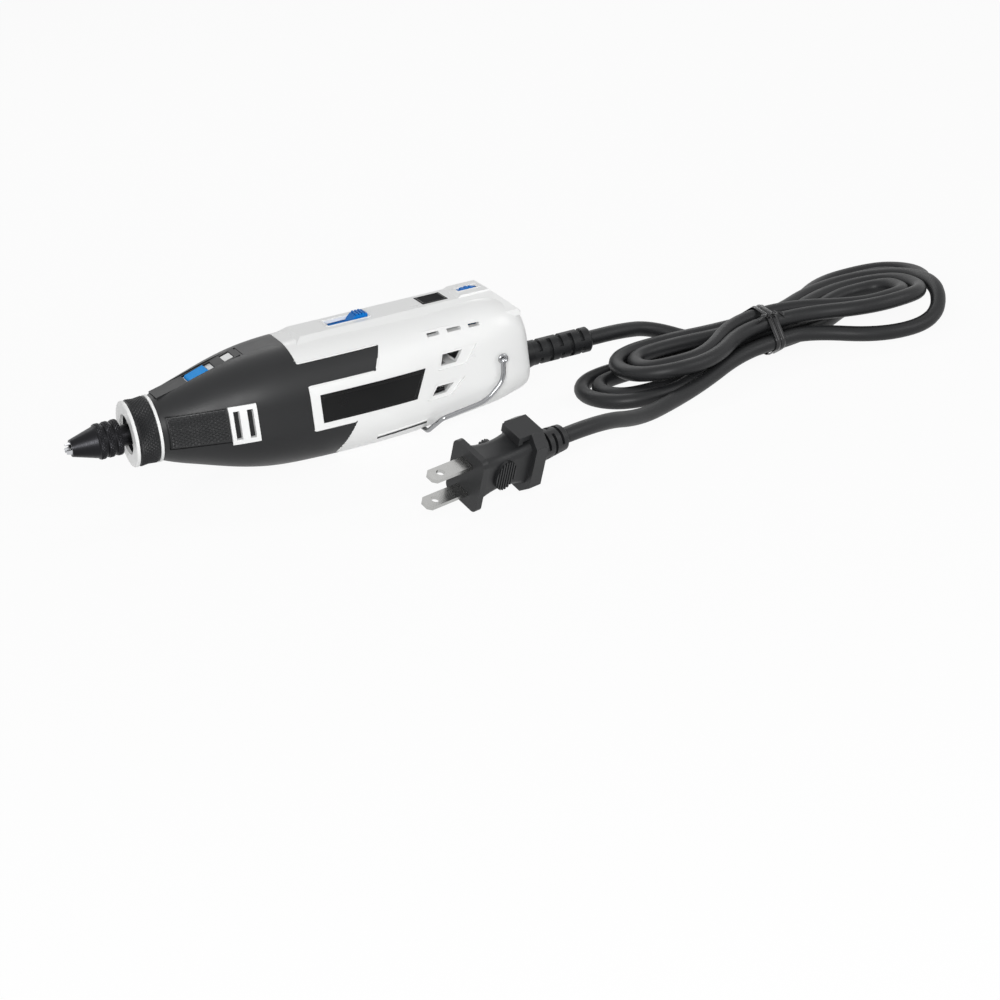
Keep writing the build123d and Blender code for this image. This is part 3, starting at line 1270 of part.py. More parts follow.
def plug_flange():
    half_width, half_height, corner = PLUG_FLANGE_WIDTH / 2, PLUG_FLANGE_HEIGHT / 2, PLUG_FLANGE_CORNER
    corners = [(half_width, half_height - corner), (half_width - corner, half_height)]
    outline = []
    for y_sign, z_sign, order in ((1, 1, 1), (-1, 1, -1), (-1, -1, 1), (1, -1, -1)):
        outline += [(y * y_sign, z * z_sign) for y, z in corners[::order]]
    start = PLUG_LENGTH - PLUG_FLANGE_THICKNESS
    face = Plane((start, 0, 0), x_dir=(0, 1, 0), z_dir=(1, 0, 0)) * make_face(
        Polyline(*outline, close=True).edges())
    return extrude(face, PLUG_FLANGE_THICKNESS)


def plug_body():
    """A face plate, a waisted body with a ribbed oval each side, and a flange with a finger lip."""
    flange_start = PLUG_LENGTH - PLUG_FLANGE_THICKNESS
    body = extrude(plug_section(0, PLUG_FACE_WIDTH, PLUG_FACE_HEIGHT, 2.6), PLUG_FACE_THICKNESS)
    wide, high = PLUG_WAIST_WIDTH, PLUG_WAIST_HEIGHT
    body += loft([plug_section(PLUG_FACE_THICKNESS - 0.5, wide + 1.6, high + 4.4, 3.0),
                  plug_section((PLUG_FACE_THICKNESS + flange_start) / 2, wide, high, 3.0),
                  plug_section(flange_start + 0.5, wide + 2.2, high + 3.4, 3.0)])
    body += plug_flange()
    lip_top = PLUG_FLANGE_HEIGHT / 2
    body += block(flange_start - PLUG_LIP, flange_start + 1, -5.0, 5.0, lip_top - 2.2, lip_top)
    body += block(flange_start - PLUG_LIP, flange_start - PLUG_LIP + 2.0, -5.0, 5.0, lip_top - 3.4, lip_top)
    for side in (-1, 1):
        oval = Pos(13.5, side * (wide / 2 + 0.4), 0) * Rot(90, 0, 0) * extrude(Ellipse(4.6, 6.4), 0.9, both=True)
        for rib in range(7):
            x = 13.5 + (rib - 3) * 1.2
            oval -= block(x - 0.3, x + 0.3, side * (wide / 2 + 1.1) - 0.4, side * (wide / 2 + 1.1) + 0.4, -9, 9)
        body += oval
    for side in (-1, 1):
        body -= block(-1, BLADE_ROOT + SEAM_FIT, -BLADE_WIDTH / 2 - SEAM_FIT, BLADE_WIDTH / 2 + SEAM_FIT,
                      side * PLUG_PITCH / 2 - BLADE_THICKNESS / 2 - SEAM_FIT,
                      side * PLUG_PITCH / 2 + BLADE_THICKNESS / 2 + SEAM_FIT)
    return plug_location() * body


def plug_boot():
    start = PLUG_LENGTH + SEAM_FIT
    end = PLUG_LENGTH + PLUG_BOOT_LENGTH
    boot = spin([(start, 0), (start, PLUG_BOOT_RADIUS), (end - 0.5, PLUG_BOOT_TIP_RADIUS),
                 (end, PLUG_BOOT_TIP_RADIUS - 0.5), (end, 0)])
    boot -= slotted(start + 0.6, end, PLUG_BOOT_SLOTS, PLUG_BOOT_RADIUS, CORD_RADIUS + 0.9, 1)
    return plug_location() * boot


def plug_blades():
    half = BLADE_WIDTH / 2
    outline = make_face(Polyline((-BLADE_LENGTH + 1.5, -half), (BLADE_ROOT, -half), (BLADE_ROOT, half),
                                 (-BLADE_LENGTH + 1.5, half), (-BLADE_LENGTH, half - 1.5),
                                 (-BLADE_LENGTH, 1.5 - half), close=True).edges())
    hole = Pos(-BLADE_LENGTH + BLADE_HOLE_FROM_TIP, 0, 0) * Cylinder(BLADE_HOLE_RADIUS, 4)
    blades = []
    for side in (-1, 1):
        blade = extrude(outline, BLADE_THICKNESS / 2, both=True) - hole
        blades.append(plug_location() * Pos(0, 0, side * PLUG_PITCH / 2) * blade)
    return blades


# ---- what gets written ----------------------------------------------------------------------------------
def tool_pieces():
    skin, pads, frames, plates = whole_skin(), side_pads(), vent_frames(), badges()
    pieces = {
        "housing_left": housing_left(), "housing_right": housing_right(),
        "grip_left": left_half(skin), "grip_right": right_half(skin),
        "side_pad_left": left_half(pads), "side_pad_right": right_half(pads),
        "vent_frame_left": left_half(frames), "vent_frame_right": right_half(frames),
        "badge_left": left_half(plates), "badge_right": right_half(plates),
        "label_plate": label_plate(), "nose_ring": nose_ring(), "nose_cap": nose_cap(),
        "trim_ring": trim_ring(), "chuck_body": chuck_body(), "spindle": spindle(),
        "front_bearing": front_bearing(), "rear_spindle_bearing": rear_spindle_bearing(),
        "motor_front_bearing": motor_bearing(MOTOR_FRONT_BEARING_START),
        "motor_rear_bearing": motor_bearing(MOTOR_REAR_BEARING_START),
        "shaft_coupler": shaft_coupler(), "armature_shaft": armature_shaft(),
        "armature_core": armature_core(), "armature_winding": armature_winding(),
        "stator_core": stator_core(), "field_winding": field_winding(), "commutator": commutator(),
        "cooling_fan": cooling_fan(), "carbon_brushes": carbon_brushes(), "brush_springs": brush_springs(),
        "brush_holders": brush_holders(), "power_slider": power_slider(), "switch_link": switch_link(),
        "switch_body": switch_body(), "speed_dial": speed_dial(), "potentiometer": potentiometer(),
        "speed_board": speed_board(), "lock_button": lock_button(), "lock_pin": lock_pin(),
        "lock_spring": lock_spring(), "lock_bezel": lock_bezel(), "hanger_bail": hanger_bail(),
        "cord_clamp": cord_clamp(), "cord_entry": cord_entry(), "cord_boot": cord_boot(),
        "motor_leads": motor_leads(), "housing_screws": housing_screws(), "clamp_screws": clamp_screws(),
    }
    for number in range(3):
        pieces[f"chuck_jaw_{number + 1}"] = chuck_jaw(number)
    return pieces


def floor_pieces():
    return {"cord_lead": cord_lead(), "cord_hank": cord_hank(), "cord_tail": cord_tail(), "cord_tie": cord_tie(),
            "plug_body": plug_body(), "plug_boot": plug_boot(), "plug_blades": plug_blades()}


def solid_list(shape):
    """Every solid in a shape or a list of shapes."""
    shapes = shape if isinstance(shape, list) else [shape]
    return [solid for each in shapes for solid in each.solids()]


def write(name, solids):
    export_step(solids[0] if len(solids) == 1 else Compound(children=solids), f"parts/{name}.step")


def least_gap(edges, step=1.0, skip=30.0):
    """The least room between turns of the hank's tube that are more than skip apart along it."""
    points = []
    for edge in edges:
        count = max(1, round(edge.length / step))
        points += [tuple(edge @ (number / count)) for number in range(count)]
    apart = round(skip / step)
    least = min(dist(point, other) for index, point in enumerate(points) for other in points[index + apart:])
    return least - 2 * CORD_RADIUS


def report_cord(name, path, solid):
    section = pi * CORD_RADIUS ** 2
    print(f"{name}: {path.length:.1f} mm, volume {solid.volume:.0f} against {section * path.length:.0f} mm3")


def main():
    os.makedirs("parts", exist_ok=True)
    for name, shape in tool_pieces().items():
        write(name, [STAND * solid for solid in solid_list(shape)])
    floor = floor_pieces()
    for name, shape in floor.items():
        write(name, solid_list(shape))
    for name, points in (("cord_lead", lead_points()), ("cord_tail", tail_points())):
        print(name, "bend radii", [round(radius, 1) for radius in bend_radii(points)])
        report_cord(name, free_stretch(points), floor[name])
    edges = hank_edges()
    report_cord("cord_hank", Wire(edges), floor["cord_hank"])
    print(f"cord_hank: least gap between turns {least_gap(edges):.2f} mm")


main()
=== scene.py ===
# %% [markdown]
# # A rotary tool and its mains cord
#
# The tool is a white moulded shell in two halves, with a dark soft grip over its front,
# a small chuck at its nose and a blue slider on its ridge.
# Its body comes from the fixed frame, already at its real size.
# Blender adds what a lathe or a mould leaves on a surface: knurls, lips, borders, grain and gloss.
# Every later cell works in the frame's own places, so no piece needs fitting.

# %% Load the frame
from math import ceil, cos, pi, radians, sin, sqrt
import bmesh
import bpy
from mathutils import Matrix, Vector
from mathutils.bvhtree import BVHTree


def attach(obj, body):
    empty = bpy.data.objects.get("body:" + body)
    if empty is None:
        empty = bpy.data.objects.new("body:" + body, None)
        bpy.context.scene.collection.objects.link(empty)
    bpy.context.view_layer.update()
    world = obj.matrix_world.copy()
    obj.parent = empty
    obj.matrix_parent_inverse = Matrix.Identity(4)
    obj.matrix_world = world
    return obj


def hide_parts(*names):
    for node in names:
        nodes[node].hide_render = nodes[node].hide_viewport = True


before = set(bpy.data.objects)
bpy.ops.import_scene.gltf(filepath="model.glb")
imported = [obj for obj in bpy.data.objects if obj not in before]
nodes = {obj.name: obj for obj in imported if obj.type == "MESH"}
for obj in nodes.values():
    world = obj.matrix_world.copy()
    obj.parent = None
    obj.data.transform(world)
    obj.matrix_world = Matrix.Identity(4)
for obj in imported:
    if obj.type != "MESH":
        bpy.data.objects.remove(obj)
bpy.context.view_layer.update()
scene = bpy.context.scene

# %% [markdown]
# Sizes in a tool maker's drawing are millimetres, and Blender's are metres.
# The tool's own drawing measures along its axis from the front of the nose ring,
# so a helper carries a point from the drawing into the frame.
# That keeps each number the one that a maker would read off the drawing.

# %% Units and the tool's own drawing
MM = 0.001
NOSE_FRONT = -84.5      # where the nose ring's front face stands in the frame
AXIS_HEIGHT = 24.5      # height of the motor's axis above the table


def mm(*numbers):
    """A point in millimetres, as metres."""
    return Vector(numbers) * MM


def on_tool(along, side, up):
    """A point of the tool's drawing, in the frame."""
    return mm(along + NOSE_FRONT, side, up + AXIS_HEIGHT)


print("axis height:", on_tool(0, 0, 0).z)

# %% [markdown]
# The camera stands in front of the tool's left side, a little above it and rolled,
# about a metre off with a long lens.
# A long lens keeps the nose and the rear the same scale, as in a catalogue.
# Its right, up and back directions are written out, because three directions say more plainly
# than angles how it is rolled.

# %% Camera
camera = bpy.data.objects.new("camera", bpy.data.cameras.new("camera"))
scene.collection.objects.link(camera)
camera.data.lens = 100
camera.data.sensor_width = 36
right = Vector((0.90835, -0.40332, -0.11058))
up = Vector((0.24610, 0.30172, 0.92109))
back = Vector((-0.33813, -0.86388, 0.37333))
stand = Vector((-0.31695, -0.96963, 0.37742))
camera.matrix_world = Matrix.Translation(stand) @ Matrix((right, up, back)).transposed().to_4x4()
scene.camera = camera
print("camera is", round(stand.length, 3), "m from the frame's origin")

# %% [markdown]
# ## The mains cord
#
# The cord is one length of round rubber, 6.2 mm thick, folded into a hank under a twist tie.
# It could be a mesh tube, but a cord is really one smooth line with a thickness,
# so it is one NURBS curve with a round bevel.
# The free ends follow a few given points, and the hank's turns are worked out
# from how far each loop reaches and how wide it is.

# %% The hank's plan
CORD_RADIUS = 3.1
TIE_PLACE = (175.5, -16.0)      # where the tie stands on the table
HANK_TURN = 4.0                 # degrees between the tool's axis and the hank's
LAYER = 7.3                     # from one layer of crossing cords up to the next
# each pass under the tie: how far across, and how high; three layers squeezed together
PASSES = ((9.8, 4.5), (-6.3, 10.0), (3.4, 4.5), (-9.4, 4.5), (-3.0, 4.5),
          (-3.5, 15.6), (0.1, 10.0), (-10.9, 14.2), (6.5, 10.0), (-15.2, 7.6))
# the loops between them: reach, middle, half width, then the layers going in, at the tip, coming out
FAR_LOOPS = ((98.0, 26.0, 18.5, 0, 0, 0), (91.0, 26.0, 11.7, 0, 0, 0), (66.0, -6.0, 11.7, 1, 1.2, 1.4),
             (73.0, -6.0, 18.5, 1, 1.2, 1.5), (80.0, -6.0, 25.5, 1, 1.2, 0.6))
NEAR_LOOPS = ((82.0, -5.5, 19.0, 0, 0, 0), (75.0, -5.5, 11.7, 0, 0, 0),
              (59.0, -7.5, 11.7, 1.2, 1, 0.97), (66.5, -7.5, 18.6, 1.2, 1, 0.95))
LAST_LOOP_SIDE = (57.0, -31.0)  # along and across: where the last far loop comes back, down on the table


def hank_heading(angle):
    """A level direction; 0 runs along the hank, away from the tool."""
    turned = radians(angle + HANK_TURN)
    return Vector((cos(turned), sin(turned), 0))


def hank_place(along, across, height):
    """A place beside the tie, in millimetres."""
    return Vector((*TIE_PLACE, height)) + hank_heading(0) * along + hank_heading(90) * across


def layer_height(layer):
    """The height of a cord's middle in a layer; layer 0 lies on the table."""
    return CORD_RADIUS + LAYER * layer


print("passes under the tie:", len(PASSES))

# %% [markdown]
# Each turn of the hank runs from the tie to a shoulder, round a tip, to the other shoulder and back.
# Between two such places, each with its own heading, the curve needs two guide points,
# one ahead of the first place and one behind the second.
# Each lies the same reach from its own place, and the two lie twice that reach apart,
# so both halves of the bend are as round as each other.

# %% Turns of the hank
SAME_WAY = 1e-9     # two headings that differ by less than this are one


def loop_places(loop, side):
    """A loop's two shoulders and its tip, each with its heading."""
    reach, middle, half_width, layer_in, layer_tip, layer_out = loop
    shoulder = reach - half_width
    outward, homeward = (0, 180) if side > 0 else (180, 0)
    going = hank_place(side * shoulder, middle + side * half_width, layer_height(layer_in))
    tip = hank_place(side * reach, middle, layer_height(layer_tip))
    coming = hank_place(side * shoulder, middle - side * half_width, layer_height(layer_out))
    return [(going, hank_heading(outward)), (tip, hank_heading(-90 * side)), (coming, hank_heading(homeward))]


def hank_places():
    """Places and headings along the whole hank, from the tool's end to the plug's."""
    places = []
    for number, (across, height) in enumerate(PASSES):
        outward = number % 2 == 0
        places.append((hank_place(0, across, height), hank_heading(0 if outward else 180)))
        if number < len(PASSES) - 1:
            loops, side = (FAR_LOOPS, 1) if outward else (NEAR_LOOPS, -1)
            places += loop_places(loops[number // 2], side)
    places[-2] = (hank_place(*LAST_LOOP_SIDE, CORD_RADIUS), hank_heading(180))
    return places


def guide_points(start, heading, end, end_heading):
    """The two guide points of the bend between two places."""
    span = end - start
    along = span.dot(heading + end_heading)
    spread = 2 * (1 - heading.dot(end_heading))
    if spread < SAME_WAY:
        reach = span.dot(span) / (4 * span.dot(end_heading))
    else:
        reach = (sqrt(along * along + spread * span.dot(span)) - along) / spread
    return [start + heading * reach, end - end_heading * reach]


turns = []
places = hank_places()
for (place, heading), (next_place, next_heading) in zip(places, places[1:]):
    turns += guide_points(place, heading, next_place, next_heading)
print("guide points in the hank:", len(turns))

# %% [markdown]
# The lead leaves the clamp inside the housing, runs out through the boot,
# passes over the first loops and comes down to the tie.
# The tail comes out of the tie, lies on the table and rises into the plug.
# The order of the curve is set after its points are added, because only then does it keep it.

# %% The cord as one curve
CLAMP_END = 53.0        # where the clamp inside the housing holds the cord
BOOT_HEIGHT = 16.5      # height at which the cord leaves the housing
LEAD = ((CLAMP_END, 0, BOOT_HEIGHT), (75.5, 0, BOOT_HEIGHT), (108.5, 0, BOOT_HEIGHT),
        (122.0, 0, BOOT_HEIGHT), (138.0, 4.4, 13.2), (156.0, -5.4, 5.0), (174.82, -6.22, 4.5))
TAIL = ((176.56, -31.16, 7.6), (158.0, -33.6, 6.5), (137.0, -44.0, 3.4), (116.0, -55.5, 3.2),
        (97.0, -67.0, 5.0), (74.24, -82.75, 14.5), (55.0, -88.2, 14.5))


def smooth_line(name, points, radius):
    """A NURBS curve through guide points in millimetres, with a round bevel."""
    curve = bpy.data.curves.new(name, "CURVE")
    curve.dimensions = "3D"
    curve.resolution_u = 10
    curve.bevel_depth = 1.0
    curve.bevel_resolution = 6
    curve.use_fill_caps = True
    spline = curve.splines.new("NURBS")
    spline.points.add(len(points) - 1)
    for guide, point in zip(spline.points, points):
        guide.co = (*(Vector(point) * MM), 1)
        guide.radius = radius * MM
    spline.order_u = 3
    spline.use_endpoint_u = True
    line = bpy.data.objects.new(name, curve)
    scene.collection.objects.link(line)
    return line


mains_cord = smooth_line("mains_cord", [*LEAD, *turns, *TAIL], CORD_RADIUS)
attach(mains_cord, "tool_body")
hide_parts("cord_entry", "cord_lead", "cord_hank", "cord_tail")
print("cord guide points:", len(LEAD) + len(turns) + len(TAIL))

# %% [markdown]
# ## Finishes
#
# A finish is what a mould, a lathe or a pot of plating leaves on a surface.
# Each one is built from nodes: a base colour that drifts a little, a roughness that varies
# as wear leaves it, and a fine relief.
# A picture could hold the same detail, but nodes stay sharp at any distance and need no unwrapping.

# %% Node helpers
FINISHES = {}
NOISE_LOW, NOISE_HIGH = 0.3, 0.7    # soft noise seldom leaves this range


def new_finish(name):
    """A new material's shader, its place coordinates, and a helper that adds linked nodes to it."""
    finish = bpy.data.materials.new(name)
    finish.use_nodes = True
    FINISHES[name] = finish
    tree = finish.node_tree
    shader = tree.nodes["Principled BSDF"]
    place = tree.nodes.new("ShaderNodeTexCoord").outputs["Object"]

    def add(kind, links=(), **settings):
        node = tree.nodes.new(kind)
        for key, value in settings.items():
            setattr(node, key, value)
        for socket, source in dict(links).items():
            if hasattr(source, "is_output"):
                tree.links.new(source, node.inputs[socket])
            else:
                node.inputs[socket].default_value = source
        return node

    return shader, place, add


def feed(shader, socket, source):
    """Links a node's output to one of the shader's sockets."""
    shader.id_data.links.new(source, shader.inputs[socket])


def speckle(add, place, scale, detail=3.0, stretch=None):
    """Soft noise; stretch makes it run along a direction."""
    if stretch:
        place = add("ShaderNodeMapping", {"Vector": place, "Scale": stretch}).outputs["Vector"]
    return add("ShaderNodeTexNoise", {"Vector": place, "Scale": scale, "Detail": detail}).outputs["Fac"]


def spread(add, value, low, high):
    """Turns a value near the middle into a range."""
    return add("ShaderNodeMapRange", {"Value": value, "From Min": NOISE_LOW, "From Max": NOISE_HIGH,
                                      "To Min": low, "To Max": high}).outputs["Result"]


def drift(add, value, one, other):
    """A colour that wanders between two."""
    mixed = add("ShaderNodeMix", {"Factor": value}, data_type="RGBA")
    mixed.inputs["A"].default_value = (*one, 1)
    mixed.inputs["B"].default_value = (*other, 1)
    return mixed.outputs["Result"]


def relief(add, height, depth, shader):
    """A bump of that depth in millimetres."""
    bump = add("ShaderNodeBump", {"Height": height, "Strength": 1.0, "Distance": depth * MM})
    feed(shader, "Normal", bump.outputs["Normal"])


def shade(colour, share):
    """A share of a colour's brightness."""
    return tuple(channel * share for channel in colour)


print("node helpers ready")

# %% [markdown]
# Moulded plastic is the same colour through and through, with a skin that copies the steel of its mould.
# A glossy shell copies polished steel and shows a faint orange peel,
# and a plain part copies a finely spark-eroded one.
# One recipe covers both, with the grain's size and depth as its numbers.

# %% Moulded plastic and rubber
CLOUDS_PER_METRE = 28.0     # how fast a moulded colour drifts
SCUFFS_PER_METRE = 90.0     # how fast its roughness varies
LEAST_SCUFFED, MOST_SCUFFED = 0.9, 1.12
COAT_ROUGHNESS = 0.12


def moulded(name, colour, roughness, grain, depth, wander=0.94, coat=0.0, specular=0.5):
    """Plastic or rubber: grain is the size of its texture and depth its relief, both in millimetres."""
    shader, place, add = new_finish(name)
    clouds = spread(add, speckle(add, place, CLOUDS_PER_METRE), 0.0, 1.0)
    feed(shader, "Base Color", drift(add, clouds, shade(colour, wander), colour))
    grains_per_metre = 1000.0 / grain
    grains = speckle(add, place, grains_per_metre, detail=4.0)
    scuffs = speckle(add, place, SCUFFS_PER_METRE, detail=6.0)
    feed(shader, "Roughness", spread(add, scuffs, roughness * LEAST_SCUFFED, roughness * MOST_SCUFFED))
    relief(add, grains, depth, shader)
    shader.inputs["Coat Weight"].default_value = coat
    shader.inputs["Coat Roughness"].default_value = COAT_ROUGHNESS
    shader.inputs["Specular IOR Level"].default_value = specular


# each with its colour, its roughness, and its grain's size and depth
moulded("shell_white", (0.83, 0.835, 0.83), 0.30, 3.0, 0.002, wander=0.998, coat=0.1)
moulded("grip_rubber", (0.018, 0.0185, 0.0195), 0.42, 0.45, 0.028, wander=0.85, specular=0.3)
moulded("trim_black", (0.012, 0.0125, 0.0135), 0.44, 0.5, 0.012, wander=0.85, specular=0.25)
moulded("badge_black", (0.006, 0.0061, 0.0065), 0.30, 1.2, 0.006, wander=0.85, specular=0.2)
moulded("control_blue", (0.004, 0.17, 0.56), 0.45, 0.8, 0.006, wander=0.93, specular=0.12)
moulded("lock_blue", (0.025, 0.33, 0.86), 0.50, 0.8, 0.006, wander=0.93, specular=0.08)
moulded("inner_plastic", (0.045, 0.046, 0.05), 0.5, 0.7, 0.012, wander=0.85)
moulded("cord_black", (0.014, 0.0145, 0.0155), 0.44, 0.6, 0.016, wander=0.84, specular=0.28)
moulded("tie_black", (0.010, 0.010, 0.011), 0.22, 1.5, 0.01, wander=0.9)
moulded("plug_black", (0.016, 0.0165, 0.0175), 0.42, 0.5, 0.016, wander=0.84, specular=0.3)
moulded("wire_grey", (0.06, 0.06, 0.065), 0.45, 0.8, 0.008)
moulded("label_black", (0.010, 0.010, 0.011), 0.75, 0.8, 0.006, wander=0.85, specular=0.05)
moulded("carbon", (0.022, 0.022, 0.023), 0.75, 0.3, 0.02, wander=0.8)
print("moulded finishes:", len(FINISHES))

# %% [markdown]
# Steel parts are turned on a lathe, which leaves fine rings round the axis, then blackened or left bright.
# The rings come from noise that is squeezed along the axis:
# each ring is a little rougher or smoother than the next.
# Copper windings and the stack of laminations use the same recipe with their own colours and spacing.

# %% Metals
STAINS_PER_METRE = 60.0     # how fast a metal's colour drifts
ROUND_THE_RINGS = 40.0      # how fast a ring changes on its way round, to a metre
SMOOTHEST, ROUGHEST = 0.75, 1.3


def turned(name, colour, roughness, rings, depth, tarnish=0.85):
    """Metal with rings round X: rings is how many there are to a metre."""
    shader, place, add = new_finish(name)
    ringed = speckle(add, place, 1.0, detail=5.0, stretch=(rings, ROUND_THE_RINGS, ROUND_THE_RINGS))
    clouds = spread(add, speckle(add, place, STAINS_PER_METRE, detail=4.0), 0.0, 1.0)
    feed(shader, "Base Color", drift(add, clouds, shade(colour, tarnish), colour))
    feed(shader, "Roughness", spread(add, ringed, roughness * SMOOTHEST, roughness * ROUGHEST))
    relief(add, ringed, depth, shader)
    shader.inputs["Metallic"].default_value = 1.0


# each with its colour, its roughness, its rings to a metre and their depth
turned("machined_steel", (0.62, 0.63, 0.65), 0.27, 2600.0, 0.010)
turned("blackened_steel", (0.022, 0.022, 0.024), 0.36, 2600.0, 0.010)
turned("bearing_steel", (0.66, 0.67, 0.68), 0.22, 1800.0, 0.006)
turned("bright_wire", (0.34, 0.345, 0.355), 0.14, 300.0, 0.003, tarnish=0.92)
turned("blade_metal", (0.50, 0.50, 0.49), 0.24, 500.0, 0.006)
turned("laminations", (0.32, 0.32, 0.33), 0.42, 2000.0, 0.06, tarnish=0.8)
turned("copper", (0.80, 0.36, 0.19), 0.34, 1500.0, 0.03, tarnish=0.8)


def circuit_board(name, lacquer, tracks_under_it):
    """Lacquer over copper tracks, which show through it a little lighter."""
    shader, place, add = new_finish(name)
    tracks = add("ShaderNodeTexBrick", {"Vector": place, "Scale": 260.0, "Mortar Size": 0.06}).outputs["Fac"]
    feed(shader, "Base Color", drift(add, tracks, lacquer, tracks_under_it))
    relief(add, tracks, depth=0.03, shader=shader)
    shader.inputs["Roughness"].default_value = 0.35


circuit_board("board_green", (0.008, 0.11, 0.035), (0.015, 0.19, 0.065))
print("finishes in all:", len(FINISHES))

# %% [markdown]
# Every solid of the frame takes one of these finishes.
# The list says which, part by part, so the same list is a table of what the tool is made of.

# %% What each part is made of
MADE_OF = {
    "shell_white": ["housing_left", "housing_right", "vent_frame_left", "vent_frame_right", "nose_ring",
                    "trim_ring"],
    "grip_rubber": ["grip_left", "grip_right", "side_pad_left", "side_pad_right"],
    "trim_black": ["nose_cap", "lock_bezel", "cord_boot"],
    "badge_black": ["badge_left", "badge_right"],
    "control_blue": ["power_slider", "speed_dial"],
    "lock_blue": ["lock_button"],
    "blackened_steel": ["chuck_body", "spindle"],
    "machined_steel": ["chuck_jaw_1", "chuck_jaw_2", "chuck_jaw_3", "shaft_coupler", "armature_shaft",
                       "lock_pin", "lock_spring", "housing_screws", "clamp_screws", "brush_springs"],
    "bright_wire": ["hanger_bail"],
    "bearing_steel": ["front_bearing", "rear_spindle_bearing", "motor_front_bearing", "motor_rear_bearing"],
    "laminations": ["armature_core", "stator_core"],
    "copper": ["armature_winding", "field_winding", "commutator"],
    "carbon": ["carbon_brushes"],
    "inner_plastic": ["brush_holders", "switch_body", "switch_link", "cooling_fan", "potentiometer",
                      "cord_clamp"],
    "board_green": ["speed_board"],
    "wire_grey": ["motor_leads"],
    "label_black": ["label_plate"],
    "cord_black": ["cord_entry", "cord_lead", "cord_hank", "cord_tail", "cord_tie"],
    "plug_black": ["plug_body", "plug_boot"],
    "blade_metal": ["plug_blades"],
}


def finish_with(thing, finish):
    """Puts one finish on every slot of an object."""
    if not thing.material_slots:
        thing.data.materials.append(FINISHES[finish])
    for holder in thing.material_slots:
        holder.material = FINISHES[finish]


for finish, members in MADE_OF.items():
    for member in members:
        finish_with(nodes[member], finish)
finish_with(mains_cord, "cord_black")
left_over = set(nodes) - {member for members in MADE_OF.values() for member in members}
print("parts without a finish:", sorted(left_over))

# %% [markdown]
# ## What the mould and the lathe add
#
# The frame's solids are right in size but smooth, so each detail below is laid on them as its own thin piece.
# A small helper finds the frame's surface by sending a ray at it from outside,
# and returns the place and the way the surface faces.
# That way a texture follows every curve of the part under it, with no fitting by eye.

# %% Finding the surface
OUTSIDE = 60    # rays start this far from the axis, outside the whole tool


def surface_of(*names):
    """A search tree over the faces of some of the frame's parts."""
    corners, faces = [], []
    for name in names:
        mesh = nodes[name].data
        start = len(corners)
        corners += [vertex.co.copy() for vertex in mesh.vertices]
        faces += [[start + corner for corner in face.vertices] for face in mesh.polygons]
    return BVHTree.FromPolygons(corners, faces)


def touch(tree, origin, direction):
    """Where a ray meets a surface, and the surface's outward direction there."""
    place, facing, _, _ = tree.ray_cast(origin, direction)
    return place, -facing if facing.dot(direction) > 0 else facing


def on_flank(tree, side, along, upward):
    """The place on a flank, and the way it faces; side is -1 on the left and 1 on the right."""
    return touch(tree, on_tool(along, side * OUTSIDE, upward), Vector((0, -side, 0)))


def on_top(tree, along, sideways):
    """The place on top, and the way it faces."""
    return touch(tree, on_tool(along, sideways, OUTSIDE), Vector((0, 0, -1)))


print("rays start", OUTSIDE, "mm from the axis")

# %% [markdown]
# A mesh is a list of corners and a list of faces that join them.
# Two lists cover the pieces below: a sheet is a grid of corners, and a tube is one section after another.
# One helper makes each piece of them, faces it outwards, gives it a finish and lets it ride on a body,
# so no piece is left behind when the tool moves.

# %% Making a piece
def new_piece(name, corners, faces, finish, body, smooth=True):
    """A mesh piece that rides on a body and takes a finish."""
    mesh = bpy.data.meshes.new(name)
    mesh.from_pydata([tuple(corner) for corner in corners], [], faces)
    mesh.validate()
    shape = bmesh.new()
    shape.from_mesh(mesh)
    bmesh.ops.recalc_face_normals(shape, faces=shape.faces)
    shape.to_mesh(mesh)
    shape.free()
    for face in mesh.polygons:
        face.use_smooth = smooth
    piece = bpy.data.objects.new(name, mesh)
    scene.collection.objects.link(piece)
    finish_with(piece, finish)
    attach(piece, body)
    return piece


def sheet_faces(rows, columns, closed=False, start=0):
    """Faces of a grid of corners; closed joins the last column to the first."""
    faces = []
    for row in range(rows - 1):
        for column in range(columns if closed else columns - 1):
            after = (column + 1) % columns
            here, there = start + row * columns, start + (row + 1) * columns
            faces.append((here + column, here + after, there + after, there + column))
    return faces


def tube_faces(count, size, closed=False):
    """Faces round a number of sections of equal size; closed joins the ends, or else each gets a cap."""
    faces = []
    for number in range(count if closed else count - 1):
        here, there = number * size, (number + 1) % count * size
        faces += [(here + k, here + (k + 1) % size, there + (k + 1) % size, there + k) for k in range(size)]
    if not closed:
        faces += [tuple(range(size)), tuple((count - 1) * size + k for k in range(size))]
    return faces


print("piece helpers ready")

# %% [markdown]
# The nose cap is turned by hand, so its collar has a knurl:
# two sets of slanting grooves that leave rows of small pyramids.
# A knurl could be faked with a bump, but its edge shows against the light, so the points are real.
# The collar is slightly waisted, and the helper reads that waist off the solid.

# %% Knurls on round parts
LIFT = 0.02                 # a knurl stands off its part by this much at the least
SINK = 0.25                 # and reaches this far into it
STEPS_TO_A_POINT = 4        # grid steps across one point
KNURL_RUN_OUT = 0.3         # over this length the points fade out at each end of a band


def zigzag(value):
    """A triangle wave: 0 at whole numbers, 1 half way between."""
    return 1 - abs((value % 1) * 2 - 1)


def diamonds(across, along):
    """The height of a diamond knurl, from 0 in its grooves to 1 on its points."""
    return min(zigzag(across + along), zigzag(across - along))


